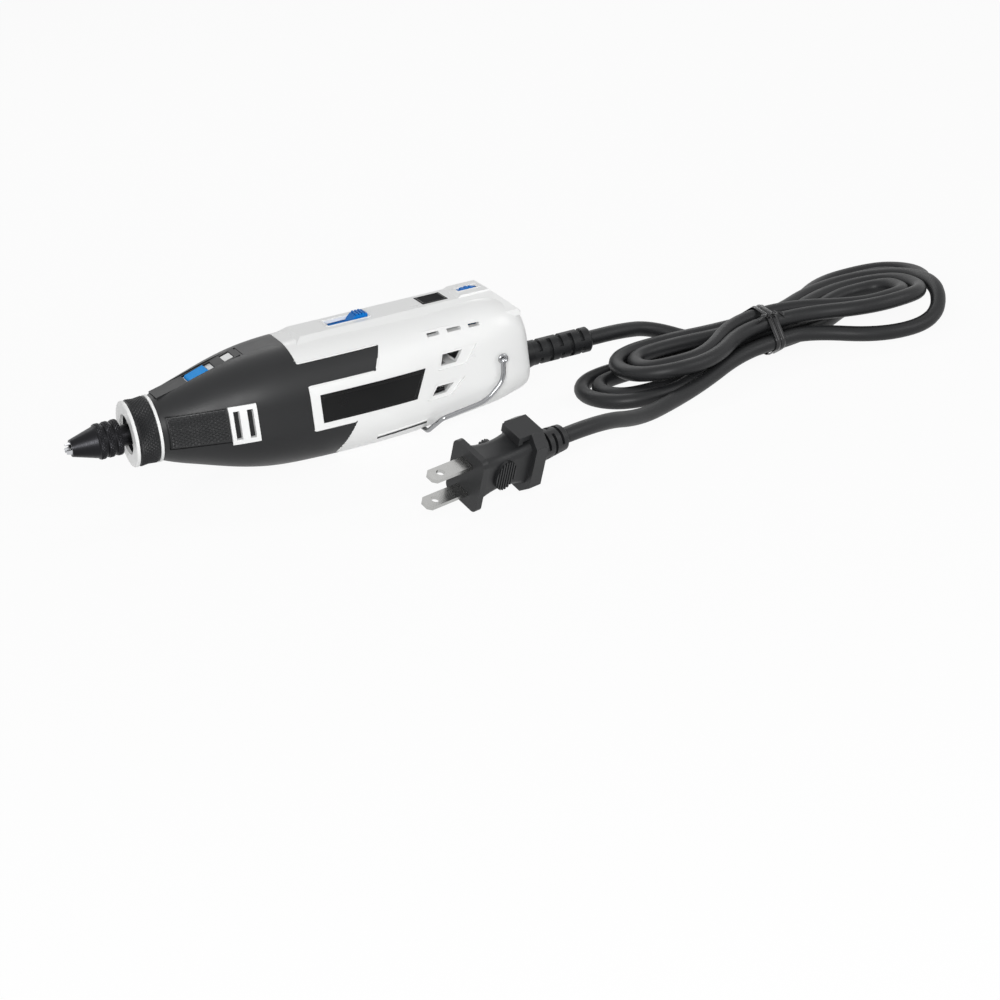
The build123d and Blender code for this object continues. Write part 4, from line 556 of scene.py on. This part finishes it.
def closed_shell(outer, inner, rows, columns, closed=False):
    """Faces between an outer and an inner grid of corners, joined along every open edge."""
    count = rows * columns
    faces = sheet_faces(rows, columns, closed) + sheet_faces(rows, columns, closed, start=count)
    for row in (0, rows - 1):
        for column in range(columns if closed else columns - 1):
            here, after = row * columns + column, row * columns + (column + 1) % columns
            faces.append((here, after, count + after, count + here))
    if not closed:
        for row in range(rows - 1):
            for column in (0, columns - 1):
                here, after = row * columns + column, (row + 1) * columns + column
                faces.append((here, after, count + after, count + here))
    return list(outer) + list(inner), faces


def knurled_band(name, node, start, end, points, pitch, depth, finish, body):
    """A band of knurl round the tool's axis, laid over a round part; pitch is the length of one diamond."""
    tree = surface_of(node)
    rows = int((end - start) / pitch * STEPS_TO_A_POINT) + 1
    columns = points * STEPS_TO_A_POINT
    outer, inner = [], []
    for row in range(rows):
        share = row / (rows - 1)
        along = start + (end - start) * share
        place, _ = on_top(tree, along, 0)
        radius = place.z / MM - AXIS_HEIGHT
        fade = min(1, min(share, 1 - share) * (end - start) / KNURL_RUN_OUT)
        for column in range(columns):
            knurl = diamonds(column / STEPS_TO_A_POINT, (along - start) / pitch)
            angle = 2 * pi * column / columns
            for corners, reach in ((outer, radius + LIFT + depth * fade * knurl), (inner, radius - SINK)):
                corners.append(on_tool(along, reach * sin(angle), reach * cos(angle)))
    corners, faces = closed_shell(outer, inner, rows, columns, closed=True)
    return new_piece(name, corners, faces, finish, body, smooth=False)


cap_knurl = knurled_band("nose_cap_knurl", "nose_cap", start=1.9, end=8.9, points=52, pitch=1.6, depth=0.5,
                         finish="trim_black", body="cap_collar")
print("cap knurl:", len(cap_knurl.data.polygons), "faces")

# %% [markdown]
# The chuck's three ribs carry a finer knurl, so that fingers can turn it while the lock holds the spindle.
# One band over the whole chuck would be shorter to write, but the grooves between the ribs are smooth,
# so each rib gets a band of its own.

# %% Chuck ribs
RIBS = 3
CHUCK_REAR = -3.0                       # where the rearmost rib ends
RIB_STEP = 3.3                          # from one rib to the next
RIB_FRONT, RIB_BACK = 2.25, 0.15        # a band's two ends, ahead of the rear end of its rib
for number in range(RIBS):
    rib_end = CHUCK_REAR - number * RIB_STEP
    knurled_band(f"chuck_rib_{number + 1}", "chuck_body", start=rib_end - RIB_FRONT, end=rib_end - RIB_BACK,
                 points=36, pitch=1.1, depth=0.32, finish="blackened_steel", body="chuck")
print("chuck ribs:", RIBS)

# %% [markdown]
# The finger pad on each flank is a soft insert with small pyramids, like a file.
# It is laid on the pad's own curved face: each corner of a fine grid is sent straight in
# until it meets the pad, then lifted by the height of its pyramid.

# %% Diamond finger pads
SIDES = (("left", -1), ("right", 1))
PAD = ((13.25, -5.2), (34.45, -5.75), (34.45, 6.75), (13.25, 6.55))     # corners (along, up)
PAD_GRID = 0.225
POINT_LENGTH, POINT_WIDTH, POINT_HEIGHT = 2.3, 1.45, 0.52
PAD_RUN_OUT = 0.4           # over this length the pyramids fade out at the pad's edge


def pad_relief(along, upward, edge):
    """The pad's height above its solid, edge millimetres from its nearest edge."""
    fade = min(1, edge / PAD_RUN_OUT)
    return LIFT + POINT_HEIGHT * fade * diamonds(along / POINT_LENGTH, upward / POINT_WIDTH)


def flank_patch(name, tree, side, outline, step, height, finish):
    """A patch over a flank, with its relief from height(along, up, edge) in millimetres."""
    (a0, z0), (a1, z1), (a2, z2), (a3, z3) = outline
    columns, rows = int(abs(a1 - a0) / step) + 2, int(abs(z3 - z0) / step) + 2
    outer, inner = [], []
    for row in range(rows):
        v = row / (rows - 1)
        for column in range(columns):
            u = column / (columns - 1)
            along = (a0 + (a1 - a0) * u) * (1 - v) + (a3 + (a2 - a3) * u) * v
            upward = (z0 + (z1 - z0) * u) * (1 - v) + (z3 + (z2 - z3) * u) * v
            place, facing = on_flank(tree, side, along, upward)
            edge = min(min(u, 1 - u) * abs(a1 - a0), min(v, 1 - v) * abs(z3 - z0))
            outer.append(place + facing * height(along, upward, edge) * MM)
            inner.append(place - facing * SINK * MM)
    corners, faces = closed_shell(outer, inner, rows, columns)
    return new_piece(name, corners, faces, finish, "tool_body", smooth=False)


for label, side in SIDES:
    pad = flank_patch(f"finger_pad_{label}", surface_of(f"side_pad_{label}"), side, PAD, PAD_GRID, pad_relief,
                      "grip_rubber")
    print(pad.name, "has", len(pad.data.polygons), "faces")

# %% [markdown]
# Where the soft skin ends, the white shell stands up in a thin lip that hides the joint.
# A lip is a rounded bead that follows a line drawn on the flank,
# so one helper makes every lip, border and frame on the tool.
# The line's corners are eased a little, as a cutter would leave them.

# %% Beads along a drawn line
CORNER_RADIUS = 0.8     # how far from a corner its easing starts
CORNER_SHARE = 0.45     # and the most of a side that it may take
LINE_STEP = 0.6         # the longest stretch between two places along a line
# half a bead's section: how far across, as a share of its width, and how high, as a share of its height
BEAD_HALF = ((0.5, 0.35), (0.28, 0.85))


def eased(points, closed=False):
    """Points along a drawn outline, with its corners cut off by short curves."""
    count = len(points)
    line = []
    for number in range(count):
        here = Vector(points[number])
        if not closed and number in (0, count - 1):
            line.append(here)
            continue
        before, after = Vector(points[number - 1]), Vector(points[(number + 1) % count])
        coming, going = before - here, after - here
        cut = min(CORNER_RADIUS, coming.length * CORNER_SHARE, going.length * CORNER_SHARE)
        start, end = here + coming.normalized() * cut, here + going.normalized() * cut
        for share in (0, 0.33, 0.67, 1):
            inward = start * (1 - share) + here * share
            outward = here * (1 - share) + end * share
            line.append(inward * (1 - share) + outward * share)
    if closed:
        line.append(line[0].copy())
    walked = [line[0]]
    for there in line[1:]:
        span = there - walked[-1]
        pieces = max(1, ceil(span.length / LINE_STEP))
        begin = walked[-1].copy()
        walked += [begin + span * (number + 1) / pieces for number in range(pieces)]
    return walked[:-1] if closed else walked


def bead(name, spots, width, height, finish, closed=False, sink=0.3):
    """A rounded bead over places on a surface, each with the way that the surface faces."""
    count = len(spots)
    rising = [(-across, share * height) for across, share in BEAD_HALF]
    falling = [(across, share * height) for across, share in reversed(BEAD_HALF)]
    section = [(-0.5, -sink), *rising, (0.0, height), *falling, (0.5, -sink)]
    corners = []
    for number, (place, facing) in enumerate(spots):
        ahead = spots[(number + 1) % count][0] if closed or number < count - 1 else place
        behind = spots[number - 1][0] if closed or number else place
        across = facing.cross((ahead - behind).normalized()).normalized()
        corners += [place + (across * w * width + facing * h) * MM for w, h in section]
    return new_piece(name, corners, tube_faces(count, len(section), closed), finish, "tool_body")


def flank_spots(tree, side, points, closed=False):
    """A line of (along, up) points, laid on a flank."""
    return [on_flank(tree, side, point.x, point.y) for point in eased(points, closed)]


print("bead helper ready")

# %% [markdown]
# The lip runs down the prow of the dark skin, along the top of its arm, round the arm's end,
# round the badge panel and down to the belly.
# It follows the outline to which the skin was cut, so the lip sits on the joint.

# %% Lips round the soft skin
SKIN_EDGE = ((64.3, 18.4), (64.8, 17.5), (98.0, 17.5), (94.0, 9.0), (66.6, 9.0), (66.6, -8.6), (84.0, -8.6),
             (78.0, -19.0), (76.6, -22.0))
for label, side in SIDES:
    shell = surface_of(f"housing_{label}", f"grip_{label}")
    spots = flank_spots(shell, side, SKIN_EDGE)
    bead(f"skin_lip_{label}", spots, width=0.7, height=0.28, finish="shell_white")
print("skin lips:", len(SIDES))

# %% [markdown]
# The badge plate is bare, with a fine raised border just inside its edge.
# It could be raised on the solid, but a rim as fine as this is for the eye alone, so it is a bead.
# The bead follows the plate's own slanted outline, drawn in a little.

# %% Badge borders
BADGE = ((70.5, -6.2), (109.0, -6.2), (114.0, 5.0), (70.5, 5.0))
BORDER_INSET = 0.9


def drawn_in(points, inset):
    """An outline moved inwards by about this much."""
    middle = sum((Vector(point) for point in points), Vector((0, 0))) / len(points)
    return [(x - inset * (1 if x > middle.x else -1), y - inset * (1 if y > middle.y else -1))
            for x, y in points]


border_line = drawn_in(BADGE, BORDER_INSET)
for label, side in SIDES:
    plate = surface_of(f"badge_{label}")
    bead(f"badge_border_{label}", flank_spots(plate, side, border_line, closed=True), width=0.8, height=0.22,
         finish="badge_black", closed=True, sink=0.2)
print("badge borders:", len(SIDES))

# %% [markdown]
# Low on each flank, just above the belly, the shell has a long narrow air slot behind the skin.
# It could be cut into the shell, but it is so narrow that nobody sees into it,
# so a dark strip of painted shade stands for the shadow inside it, with a white lip above.

# %% Low air slots, with painted shade in them
LOW_SLOT = ((92.5, -19.6), (113.5, -18.2))
SLOT_LIP_ABOVE = 1.3
slot_lip = [(along, upward + SLOT_LIP_ABOVE) for along, upward in LOW_SLOT]
for label, side in SIDES:
    shell = surface_of(f"housing_{label}")
    slot_shade_spots, lip_spots = flank_spots(shell, side, LOW_SLOT), flank_spots(shell, side, slot_lip)
    # a dark strip as painted shade: the slot's inside is dark from shadow, not from its colour
    bead(f"low_slot_{label}", slot_shade_spots, width=1.5, height=0.06, finish="trim_black")
    bead(f"low_slot_lip_{label}", lip_spots, width=0.8, height=0.3, finish="shell_white")
print("low slots:", len(SIDES))

# %% [markdown]
# The slider's slot, the dial's slot and the label plate on the ridge each sit in a thin frame.
# The same bead makes them, but they lie on top, so their lines are laid down from above.

# %% Frames along the ridge
def top_spots(tree, points):
    """A closed line of (along, side) points, laid on the top."""
    return [on_top(tree, point.x, point.y) for point in eased(points, closed=True)]


def rectangle(start, end, half_width):
    """The corners of a rectangle that lies along the tool."""
    return ((start, -half_width), (end, -half_width), (end, half_width), (start, half_width))


SLIDER_SLOT = rectangle(83.5, 101.7, 4.1)
DIAL_SLOT = rectangle(138.4, 148.6, 2.6)
LABEL = rectangle(123.6, 132.9, 4.4)
ridge = surface_of("housing_left", "housing_right", "label_plate")
label_top = surface_of("label_plate")
bead("slider_frame", top_spots(ridge, SLIDER_SLOT), width=0.7, height=0.25, finish="shell_white", closed=True)
bead("dial_frame", top_spots(ridge, DIAL_SLOT), width=0.6, height=0.2, finish="shell_white", closed=True)
bead("label_border", top_spots(label_top, LABEL), width=0.5, height=0.12, finish="badge_black", closed=True,
     sink=0.15)
print("ridge frames: 3")

# %% [markdown]
# The hanging bail is a spring wire whose ends turn round into small eyes at the housing's sides.
# Each eye is a ring of the same wire, made as a circle swept round a circle.
# Blender has a torus of its own, but this one goes through the same helper as every other piece,
# so it rides with the bail.

# %% Bail eyes
EYE_ALONG, EYE_SIDE, EYE_UP = 146.5, 22.75, 1.0
EYE_RADIUS, WIRE_RADIUS = 1.45, 0.62
RING_STEPS, WIRE_STEPS = 40, 12


def wire_ring(name, centre, axis, finish, body):
    """A closed ring of round wire."""
    first = axis.orthogonal().normalized()
    second = axis.cross(first)
    corners = []
    for turn in range(RING_STEPS):
        angle = 2 * pi * turn / RING_STEPS
        out = first * cos(angle) + second * sin(angle)
        for step in range(WIRE_STEPS):
            around = 2 * pi * step / WIRE_STEPS
            from_middle = out * (EYE_RADIUS + WIRE_RADIUS * cos(around)) + axis * WIRE_RADIUS * sin(around)
            corners.append(centre + from_middle * MM)
    return new_piece(name, corners, tube_faces(RING_STEPS, WIRE_STEPS, closed=True), finish, body)


for label, side in SIDES:
    centre = on_tool(EYE_ALONG, side * EYE_SIDE, EYE_UP)
    wire_ring(f"bail_eye_{label}", centre, Vector((0, 1, 0)), "bright_wire", "bail")
print("bail eyes:", len(SIDES))

# %% [markdown]
# ## The twist tie
#
# The hank is held by a flat black twist tie: a ribbon of soft plastic with a thin wire in it,
# wound twice round the waist and twisted at one side.
# It hugs the cords, so its path is the outline of the bundle it squeezes:
# straight from cord to cord, and round the outermost ones.

# %% The bundle's outline
TIE_CLEARANCE = 0.62    # from the cords' skin out to the ribbon's middle
OUTLINE_STEPS = 44


def bundle_outline(reach):
    """Places round the bundle, out from its outermost cords: across, height and outward angle of each."""
    line = []
    for step in range(OUTLINE_STEPS):
        angle = 2 * pi * step / OUTLINE_STEPS - pi / 2
        across, height = max(PASSES, key=lambda place: place[0] * cos(angle) + place[1] * sin(angle))
        line.append((across + reach * cos(angle), height + reach * sin(angle), angle))
    return line


outline = bundle_outline(CORD_RADIUS + TIE_CLEARANCE)
print("outline of the bundle:", len(outline), "places")

# %% [markdown]
# The ribbon has a rounded rib down its middle, where the wire runs, and thin edges.
# It leans a little on its way round, so that its second turn lies beside the first.

# %% The tie's two turns
TIE_TURNS = 2
TIE_WIDTH = 2.3
TIE_START, TIE_TRAVEL = -2.6, 4.6   # where it begins along the hank, and how far it gets in all its turns
TIE_SLANT = 0.5                     # how far it leans between its lowest and its highest place, each way
# the ribbon's section: across, as a share of its width, and up in millimetres
RIBBON = ((-0.5, 0.0), (-0.42, 0.16), (-0.16, 0.2), (0.0, 0.42), (0.16, 0.2), (0.42, 0.16), (0.5, 0.0),
          (0.16, -0.12), (0.0, -0.3), (-0.16, -0.12))


def ribbon(name, path, width):
    """A ribbed ribbon along places with an across and an up direction, closed at its ends."""
    corners = []
    for place, across, upward in path:
        corners += [(place + across * w * width + upward * h) * MM for w, h in RIBBON]
    return new_piece(name, corners, tube_faces(len(path), len(RIBBON)), "tie_black", "tool_body")


along_hank, across_hank, straight_up = hank_heading(0), hank_heading(90), Vector((0, 0, 1))
path = []
for number in range(TIE_TURNS * len(outline)):
    across, height, angle = outline[number % len(outline)]
    share = number / (TIE_TURNS * len(outline) - 1)
    lean = TIE_START + TIE_TRAVEL * share + TIE_SLANT * sin(angle)
    path.append((hank_place(lean, across, height), along_hank,
                 across_hank * cos(angle) + straight_up * sin(angle)))
tie = ribbon("twist_tie", path, TIE_WIDTH)
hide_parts("cord_tie")
print("tie:", TIE_TURNS, "turns over", len(path), "places")

# %% [markdown]
# A twist tie holds by its two ends, which are twisted and then stand apart at the side of the bundle.
# Each end is the same ribbon, turned about its own length as it goes.
# A modifier could twist it, but here the turn is one value that grows with every section.

# %% The tie's twisted ends
TWIST_PLACE = (-0.6, -13.6, 18.3)                   # along the hank, across it, up
TWIST_RUNS = ((5.2, -2.4), (-6.0, -1.2))            # how far each end runs, along and across
TWIST_ARCH, TWIST_FALL = 1.3, 1.0                   # how far it arches up and ends lower
TWIST_HALF_TURNS, TWIST_EASE = 2.6, 0.4             # how far it turns, and how much less towards its tip
TWIST_WIDTH = 0.9 * TIE_WIDTH                       # pulled a little narrower
TWIST_STEPS = 25

for number, (run_along, run_across) in enumerate(TWIST_RUNS):
    ahead = (along_hank * run_along + across_hank * run_across).normalized()
    flat = ahead.cross(straight_up).normalized()
    stand_up = flat.cross(ahead)
    twisted = []
    for step in range(TWIST_STEPS):
        share = step / (TWIST_STEPS - 1)
        along, across, height = TWIST_PLACE
        place = hank_place(along + run_along * share, across + run_across * share,
                           height + TWIST_ARCH * sin(pi * share) - TWIST_FALL * share)
        spin = share * TWIST_HALF_TURNS * pi * (1 - share * TWIST_EASE)
        turned_across = flat * cos(spin) + stand_up * sin(spin)
        turned_up = stand_up * cos(spin) - flat * sin(spin)
        twisted.append((place, turned_across, turned_up))
    ribbon(f"twist_tie_end_{number + 1}", twisted, TWIST_WIDTH)
print("twisted ends:", len(TWIST_RUNS))

# %% [markdown]
# The cord's curve is measured along its whole length.

# %% The cord's length
print("the cord's curve measures", round(mains_cord.data.splines[0].calc_length(), 3), "m")

# %% [markdown]
# ## Dark places
#
# Behind the vent frame's two slots, the inside of the grip lies in shade.
# A thin dark slab on each side stands just behind the slots as painted shade and closes the view.

# %% Painted shade behind the slots
VENT_OPENING = rectangle(36.0, 44.8, 6.6)
SHADE_NEAR, SHADE_FAR = 1.9, 2.3        # how deep its two faces lie below the frame


def slab(name, corners, finish):
    """A small block between a ring of corners and the ring behind it."""
    return new_piece(name, corners, tube_faces(2, len(corners) // 2), finish, "tool_body", smooth=False)


for label, side in SIDES:
    vent = surface_of(f"vent_frame_{label}", f"grip_{label}")
    rim = [on_flank(vent, side, along, upward)[0] for along, upward in VENT_OPENING]
    # the dark slab is painted shade for the shadowed inside behind the slots
    slab(f"vent_painted_shade_{label}", [place - Vector((0, side, 0)) * depth * MM
                                 for depth in (SHADE_NEAR, SHADE_FAR) for place in rim], "trim_black")
print("vent shades:", len(SIDES))

# %% [markdown]
# The housing's screws sit deep in their holes on the right side, with a six-lobed socket in each head.
# A socket could be cut into the head, but at the bottom of a dark hole a flat dark star looks the same: it is
# painted shade for the socket's shadowed recess.

# %% Painted shade in the screw sockets
SCREWS = ((54.0, 14.5), (54.0, -15.0), (120.5, -16.5), (130.6, 13.5), (151.8, 3.0))     # (along, up)
SOCKET_RADIUS, SOCKET_LOBE, SOCKET_LOBES = 1.15, 0.22, 6
SOCKET_TOP, SOCKET_BOTTOM = 0.02, -0.3
SOCKET_STEPS = 36

screw_heads = surface_of("housing_screws")
for number, (along, upward) in enumerate(SCREWS):
    centre, _ = on_flank(screw_heads, 1, along, upward)
    corners = []
    for lift in (SOCKET_TOP, SOCKET_BOTTOM):
        for step in range(SOCKET_STEPS):
            angle = 2 * pi * step / SOCKET_STEPS
            reach = SOCKET_RADIUS + SOCKET_LOBE * cos(SOCKET_LOBES * angle)
            corners.append(centre + mm(reach * cos(angle), lift, reach * sin(angle)))
    # a flat dark star as painted shade, standing for the shadow in each socket's recess
    slab(f"screw_socket_painted_shade_{number + 1}", corners, "trim_black")
print("screw sockets:", len(SCREWS))

# %% [markdown]
# Behind the lock button the dark trim has a second window, and white plastic shows in it.
# It is a small plate laid on the skin below the window, with its top just under the trim's.
# A white patch of finish would be simpler, but a plate has edges, and they show that the window has a depth.

# %% White plate in the channel's window
WINDOW = rectangle(41.4, 45.0, 2.9)
PLATE_TOP, PLATE_BOTTOM = 0.55, -0.1
floor_below = surface_of("grip_left", "grip_right", "housing_left", "housing_right")
rim = [on_top(floor_below, along, sideways)[0] for along, sideways in WINDOW]
slab("channel_window", [place + mm(0, 0, lift) for lift in (PLATE_TOP, PLATE_BOTTOM) for place in rim],
     "shell_white")
print("channel window plate: 1")

# %% [markdown]
# ## The table and the light
#
# The tool lies on a plain white table under soft studio light.
# The table is a large sheet that keeps the tool's shadow, and it looks white to the camera
# and in reflections, so chrome and gloss mirror a bright room.
# A backdrop that curves up behind the tool would do too, but a flat sheet has nothing to set up.

# %% Table
TABLE_REACH = 6             # metres from the middle to each edge
TABLE_DROP = 0.0003         # just below everything that lies on it
TABLE_COLOUR = (0.86, 0.86, 0.86, 1)
TABLE_GLOW = 0.93           # how much of what the camera sees of it is even white


def seen_straight_or_mirrored(tree):
    """1 where a ray comes from the camera, a mirror or glass."""
    rays = tree.nodes.new("ShaderNodeLightPath")
    seen = rays.outputs["Is Camera Ray"]
    for other in ("Is Glossy Ray", "Is Transmission Ray"):
        either = tree.nodes.new("ShaderNodeMath")
        either.operation = "MAXIMUM"
        tree.links.new(seen, either.inputs[0])
        tree.links.new(rays.outputs[other], either.inputs[1])
        seen = either.outputs[0]
    return seen


table_mesh = bpy.data.meshes.new("table")
table_mesh.from_pydata([(x * TABLE_REACH, y * TABLE_REACH, -TABLE_DROP)
                        for x, y in ((-1, -1), (1, -1), (1, 1), (-1, 1))], [], [(0, 1, 2, 3)])
table = bpy.data.objects.new("table", table_mesh)
scene.collection.objects.link(table)
table_top = bpy.data.materials.new("table_white")
table_top.use_nodes = True
tree = table_top.node_tree
tree.nodes.clear()
matt = tree.nodes.new("ShaderNodeBsdfDiffuse")
matt.inputs["Color"].default_value = TABLE_COLOUR
glow = tree.nodes.new("ShaderNodeEmission")
lit = tree.nodes.new("ShaderNodeMixShader")
glow_share = tree.nodes.new("ShaderNodeMath")
glow_share.operation = "MULTIPLY"
glow_share.inputs[1].default_value = TABLE_GLOW
tree.links.new(seen_straight_or_mirrored(tree), glow_share.inputs[0])
tree.links.new(glow_share.outputs[0], lit.inputs[0])
tree.links.new(matt.outputs[0], lit.inputs[1])
tree.links.new(glow.outputs[0], lit.inputs[2])
tree.links.new(lit.outputs[0], tree.nodes.new("ShaderNodeOutputMaterial").inputs[0])
table.data.materials.append(table_top)
print("table:", 2 * TABLE_REACH, "m across")

# %% [markdown]
# The room round the table is white to the camera and in reflections, and dimmer as a source of light.
# The lamps are kept at the level at which a colour looks as it was written,
# and broad lamps give the soft edges that a light tent does.

# %% Room and lamps
ROOM_LIGHT = 0.25
room = bpy.data.worlds.new("room")
scene.world = room
room.use_nodes = True
tree = room.node_tree
sky = tree.nodes["Background"]
sky.inputs["Color"].default_value = (1, 1, 1, 1)
level = tree.nodes.new("ShaderNodeMapRange")
level.inputs["To Min"].default_value = ROOM_LIGHT
level.inputs["To Max"].default_value = 1.0
tree.links.new(seen_straight_or_mirrored(tree), level.inputs["Value"])
tree.links.new(level.outputs["Result"], sky.inputs["Strength"])


def lamp(name, place, aim, size, watts):
    """A broad soft lamp that faces a point."""
    light = bpy.data.lights.new(name, "AREA")
    light.shape = "RECTANGLE"
    light.size, light.size_y = size
    light.energy = watts
    thing = bpy.data.objects.new(name, light)
    scene.collection.objects.link(thing)
    thing.location = place
    thing.rotation_euler = (Vector(aim) - Vector(place)).to_track_quat("-Z", "Y").to_euler()


lamp("key_lamp", place=(-0.45, -1.00, 0.45), aim=(0.03, -0.03, 0.02), size=(0.6, 0.4), watts=10.0)
lamp("side_lamp", place=(0.80, -0.75, 0.55), aim=(0.05, -0.03, 0.02), size=(0.5, 0.5), watts=2.6)
lamp("back_lamp", place=(0.10, 0.75, 0.70), aim=(0.03, 0.0, 0.02), size=(1.1, 0.09), watts=2.2)
scene.view_settings.view_transform = "Standard"
print("lamps: 3")
